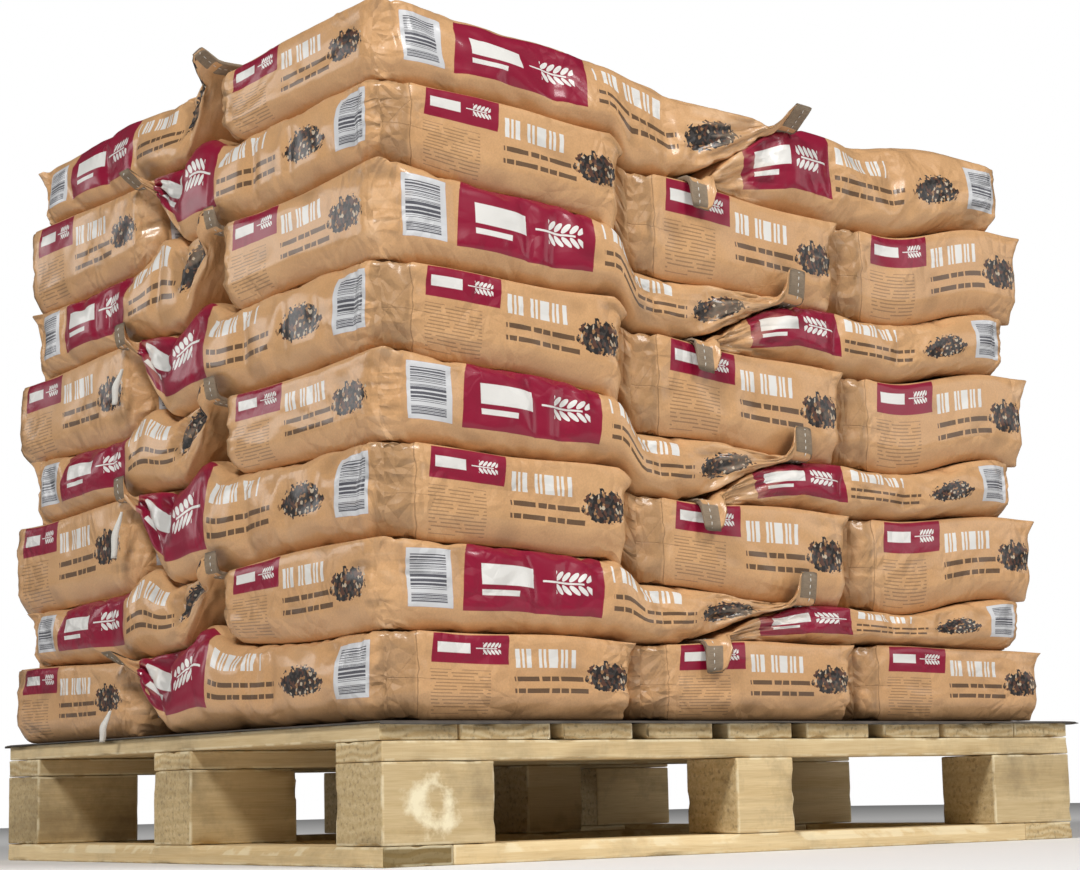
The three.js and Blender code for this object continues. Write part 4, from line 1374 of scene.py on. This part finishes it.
strip_points, strip_faces = [], []
for sack in sack_list():
    if sack["place"] not in STRIP_DROPS:
        continue
    line = seam_line(sack)
    root = line[np.argmin(line[:, 0])]
    start, length = STRIP_DROPS[sack["place"]]
    for step in range(STRIP_STEPS + 1):
        share = step / STRIP_STEPS
        outward = STRIP_CURL * (1 - share) ** 3 + STRIP_ROOT[0] + STRIP_WAVE * math.sin(9 * share)
        middle = root + (outward, STRIP_SIDEWAYS * share + STRIP_ROOT[1], -start - share * length)
        wide = STRIP_WIDTH / 2 * (0.35 + 0.65 * min(1, 2.2 * share)) * (1 - 0.25 * share ** 3)
        twist = STRIP_TURN + STRIP_TWIST * math.sin(4 * share + sack["seed"])
        side = np.array((math.sin(twist) * wide, math.cos(twist) * wide, 0))
        thick = np.array((math.cos(twist), -math.sin(twist), 0)) * STRIP_THICKNESS / 2
        first = len(strip_points)
        back, front = middle - thick, middle + thick
        strip_points += [back - side, back + side, front + side, front - side]
        if step:
            for corner in range(4):
                after = (corner + 1) % 4
                strip_faces.append([first + corner, first + after, first + after - 4, first + corner - 4])
        if step in (0, STRIP_STEPS):
            cap = [first, first + 1, first + 2, first + 3]
            strip_faces.append(cap if step == 0 else cap[::-1])
new_piece("pull_strips", new_mesh("pull_strips", np.array(strip_points), strip_faces), thread)

# Studio
# A pale floor, a white surround and four soft lights: two high ones before the load, and two low
# ones that shine back off its glossy sides. The camera stands low before the front left corner and
# looks slightly up.

CAMERA_PLACE = (-2.1283, -2.8041, 0.0818)
CAMERA_YAW = math.radians(37.52)
CAMERA_PITCH = math.radians(8.59)
CAMERA_ROLL = math.radians(-1.25)
CAMERA_LENS = 78.93
CAMERA_SENSOR = 36
HALF_FLOOR = 5.0
LOAD_MIDDLE = Vector((0, 0, 0.55))
SURROUND_LIGHT = 0.06


def plain(nodes):
    """A paint that is the same all over."""
    return {}


def staged(name, data):
    """An object of the studio."""
    thing = bpy.data.objects.new(name, data)
    bpy.context.scene.collection.objects.link(thing)
    return thing


def soft_light(name, place, size, power, colour):
    lamp = staged(name, bpy.data.lights.new(name, "AREA"))
    lamp.data.size = size
    lamp.data.energy = power
    lamp.data.color = colour
    lamp.location = place
    lamp.rotation_euler = (LOAD_MIDDLE - Vector(place)).to_track_quat("-Z", "Y").to_euler()


floor_mesh = bpy.data.meshes.new("studio_floor")
floor_mesh.from_pydata([(x * HALF_FLOOR, y * HALF_FLOOR, 0) for x, y in ((-1, -1), (1, -1), (1, 1), (-1, 1))],
                       [], [(0, 1, 2, 3)])
floor_mesh.materials.append(made_of("studio floor", plain, Base_Color=(0.90, 0.90, 0.90, 1), Roughness=0.9))
staged("studio_floor", floor_mesh)

soft_light("key_light", (-4.2, -2.4, 4.6), 1.2, 242, (1.0, 0.985, 0.96))
soft_light("fill_light", (0.8, -5.2, 5.0), 1.8, 214, (1.0, 0.985, 0.96))
soft_light("left_shine", (-3.6, 4.6, 2.0), 1.5, 25, (1.0, 0.99, 0.98))
soft_light("right_shine", (4.4, -3.8, 1.8), 2.0, 24, (1.0, 0.99, 0.98))

# The surround lights the load only faintly, but looks white behind it
world = bpy.data.worlds.new("studio")
world.use_nodes = True
nodes = Nodes(world.node_tree)
surround = world.node_tree.nodes["Background"]
surround.inputs["Strength"].default_value = SURROUND_LIGHT
surround.inputs["Color"].default_value = (1, 1, 1, 1)
backdrop = nodes.add("ShaderNodeBackground", {"Color": (1, 1, 1, 1), "Strength": 1.0})
seen = nodes.add("ShaderNodeLightPath").outputs["Is Camera Ray"]
sky = nodes.add("ShaderNodeMixShader", {0: seen, 1: surround.outputs[0], 2: backdrop.outputs[0]})
world.node_tree.links.new(sky.outputs[0], world.node_tree.nodes["World Output"].inputs["Surface"])
bpy.context.scene.world = world
bpy.context.scene.view_settings.view_transform = "Standard"

camera = staged("camera", bpy.data.cameras.new("camera"))
camera.data.lens = CAMERA_LENS
camera.data.sensor_width = CAMERA_SENSOR
right = Vector((math.cos(CAMERA_YAW), -math.sin(CAMERA_YAW), 0))
level_ahead = Vector((math.sin(CAMERA_YAW), math.cos(CAMERA_YAW), 0))
ahead = level_ahead * math.cos(CAMERA_PITCH) + Vector((0, 0, math.sin(CAMERA_PITCH)))
above = right.cross(ahead)
rolled_right = math.cos(CAMERA_ROLL) * right + math.sin(CAMERA_ROLL) * above
rolled_above = math.cos(CAMERA_ROLL) * above - math.sin(CAMERA_ROLL) * right
turn = Matrix((rolled_right, rolled_above, -ahead)).transposed().to_4x4()
camera.matrix_world = Matrix.Translation(CAMERA_PLACE) @ turn
bpy.context.scene.camera = camera
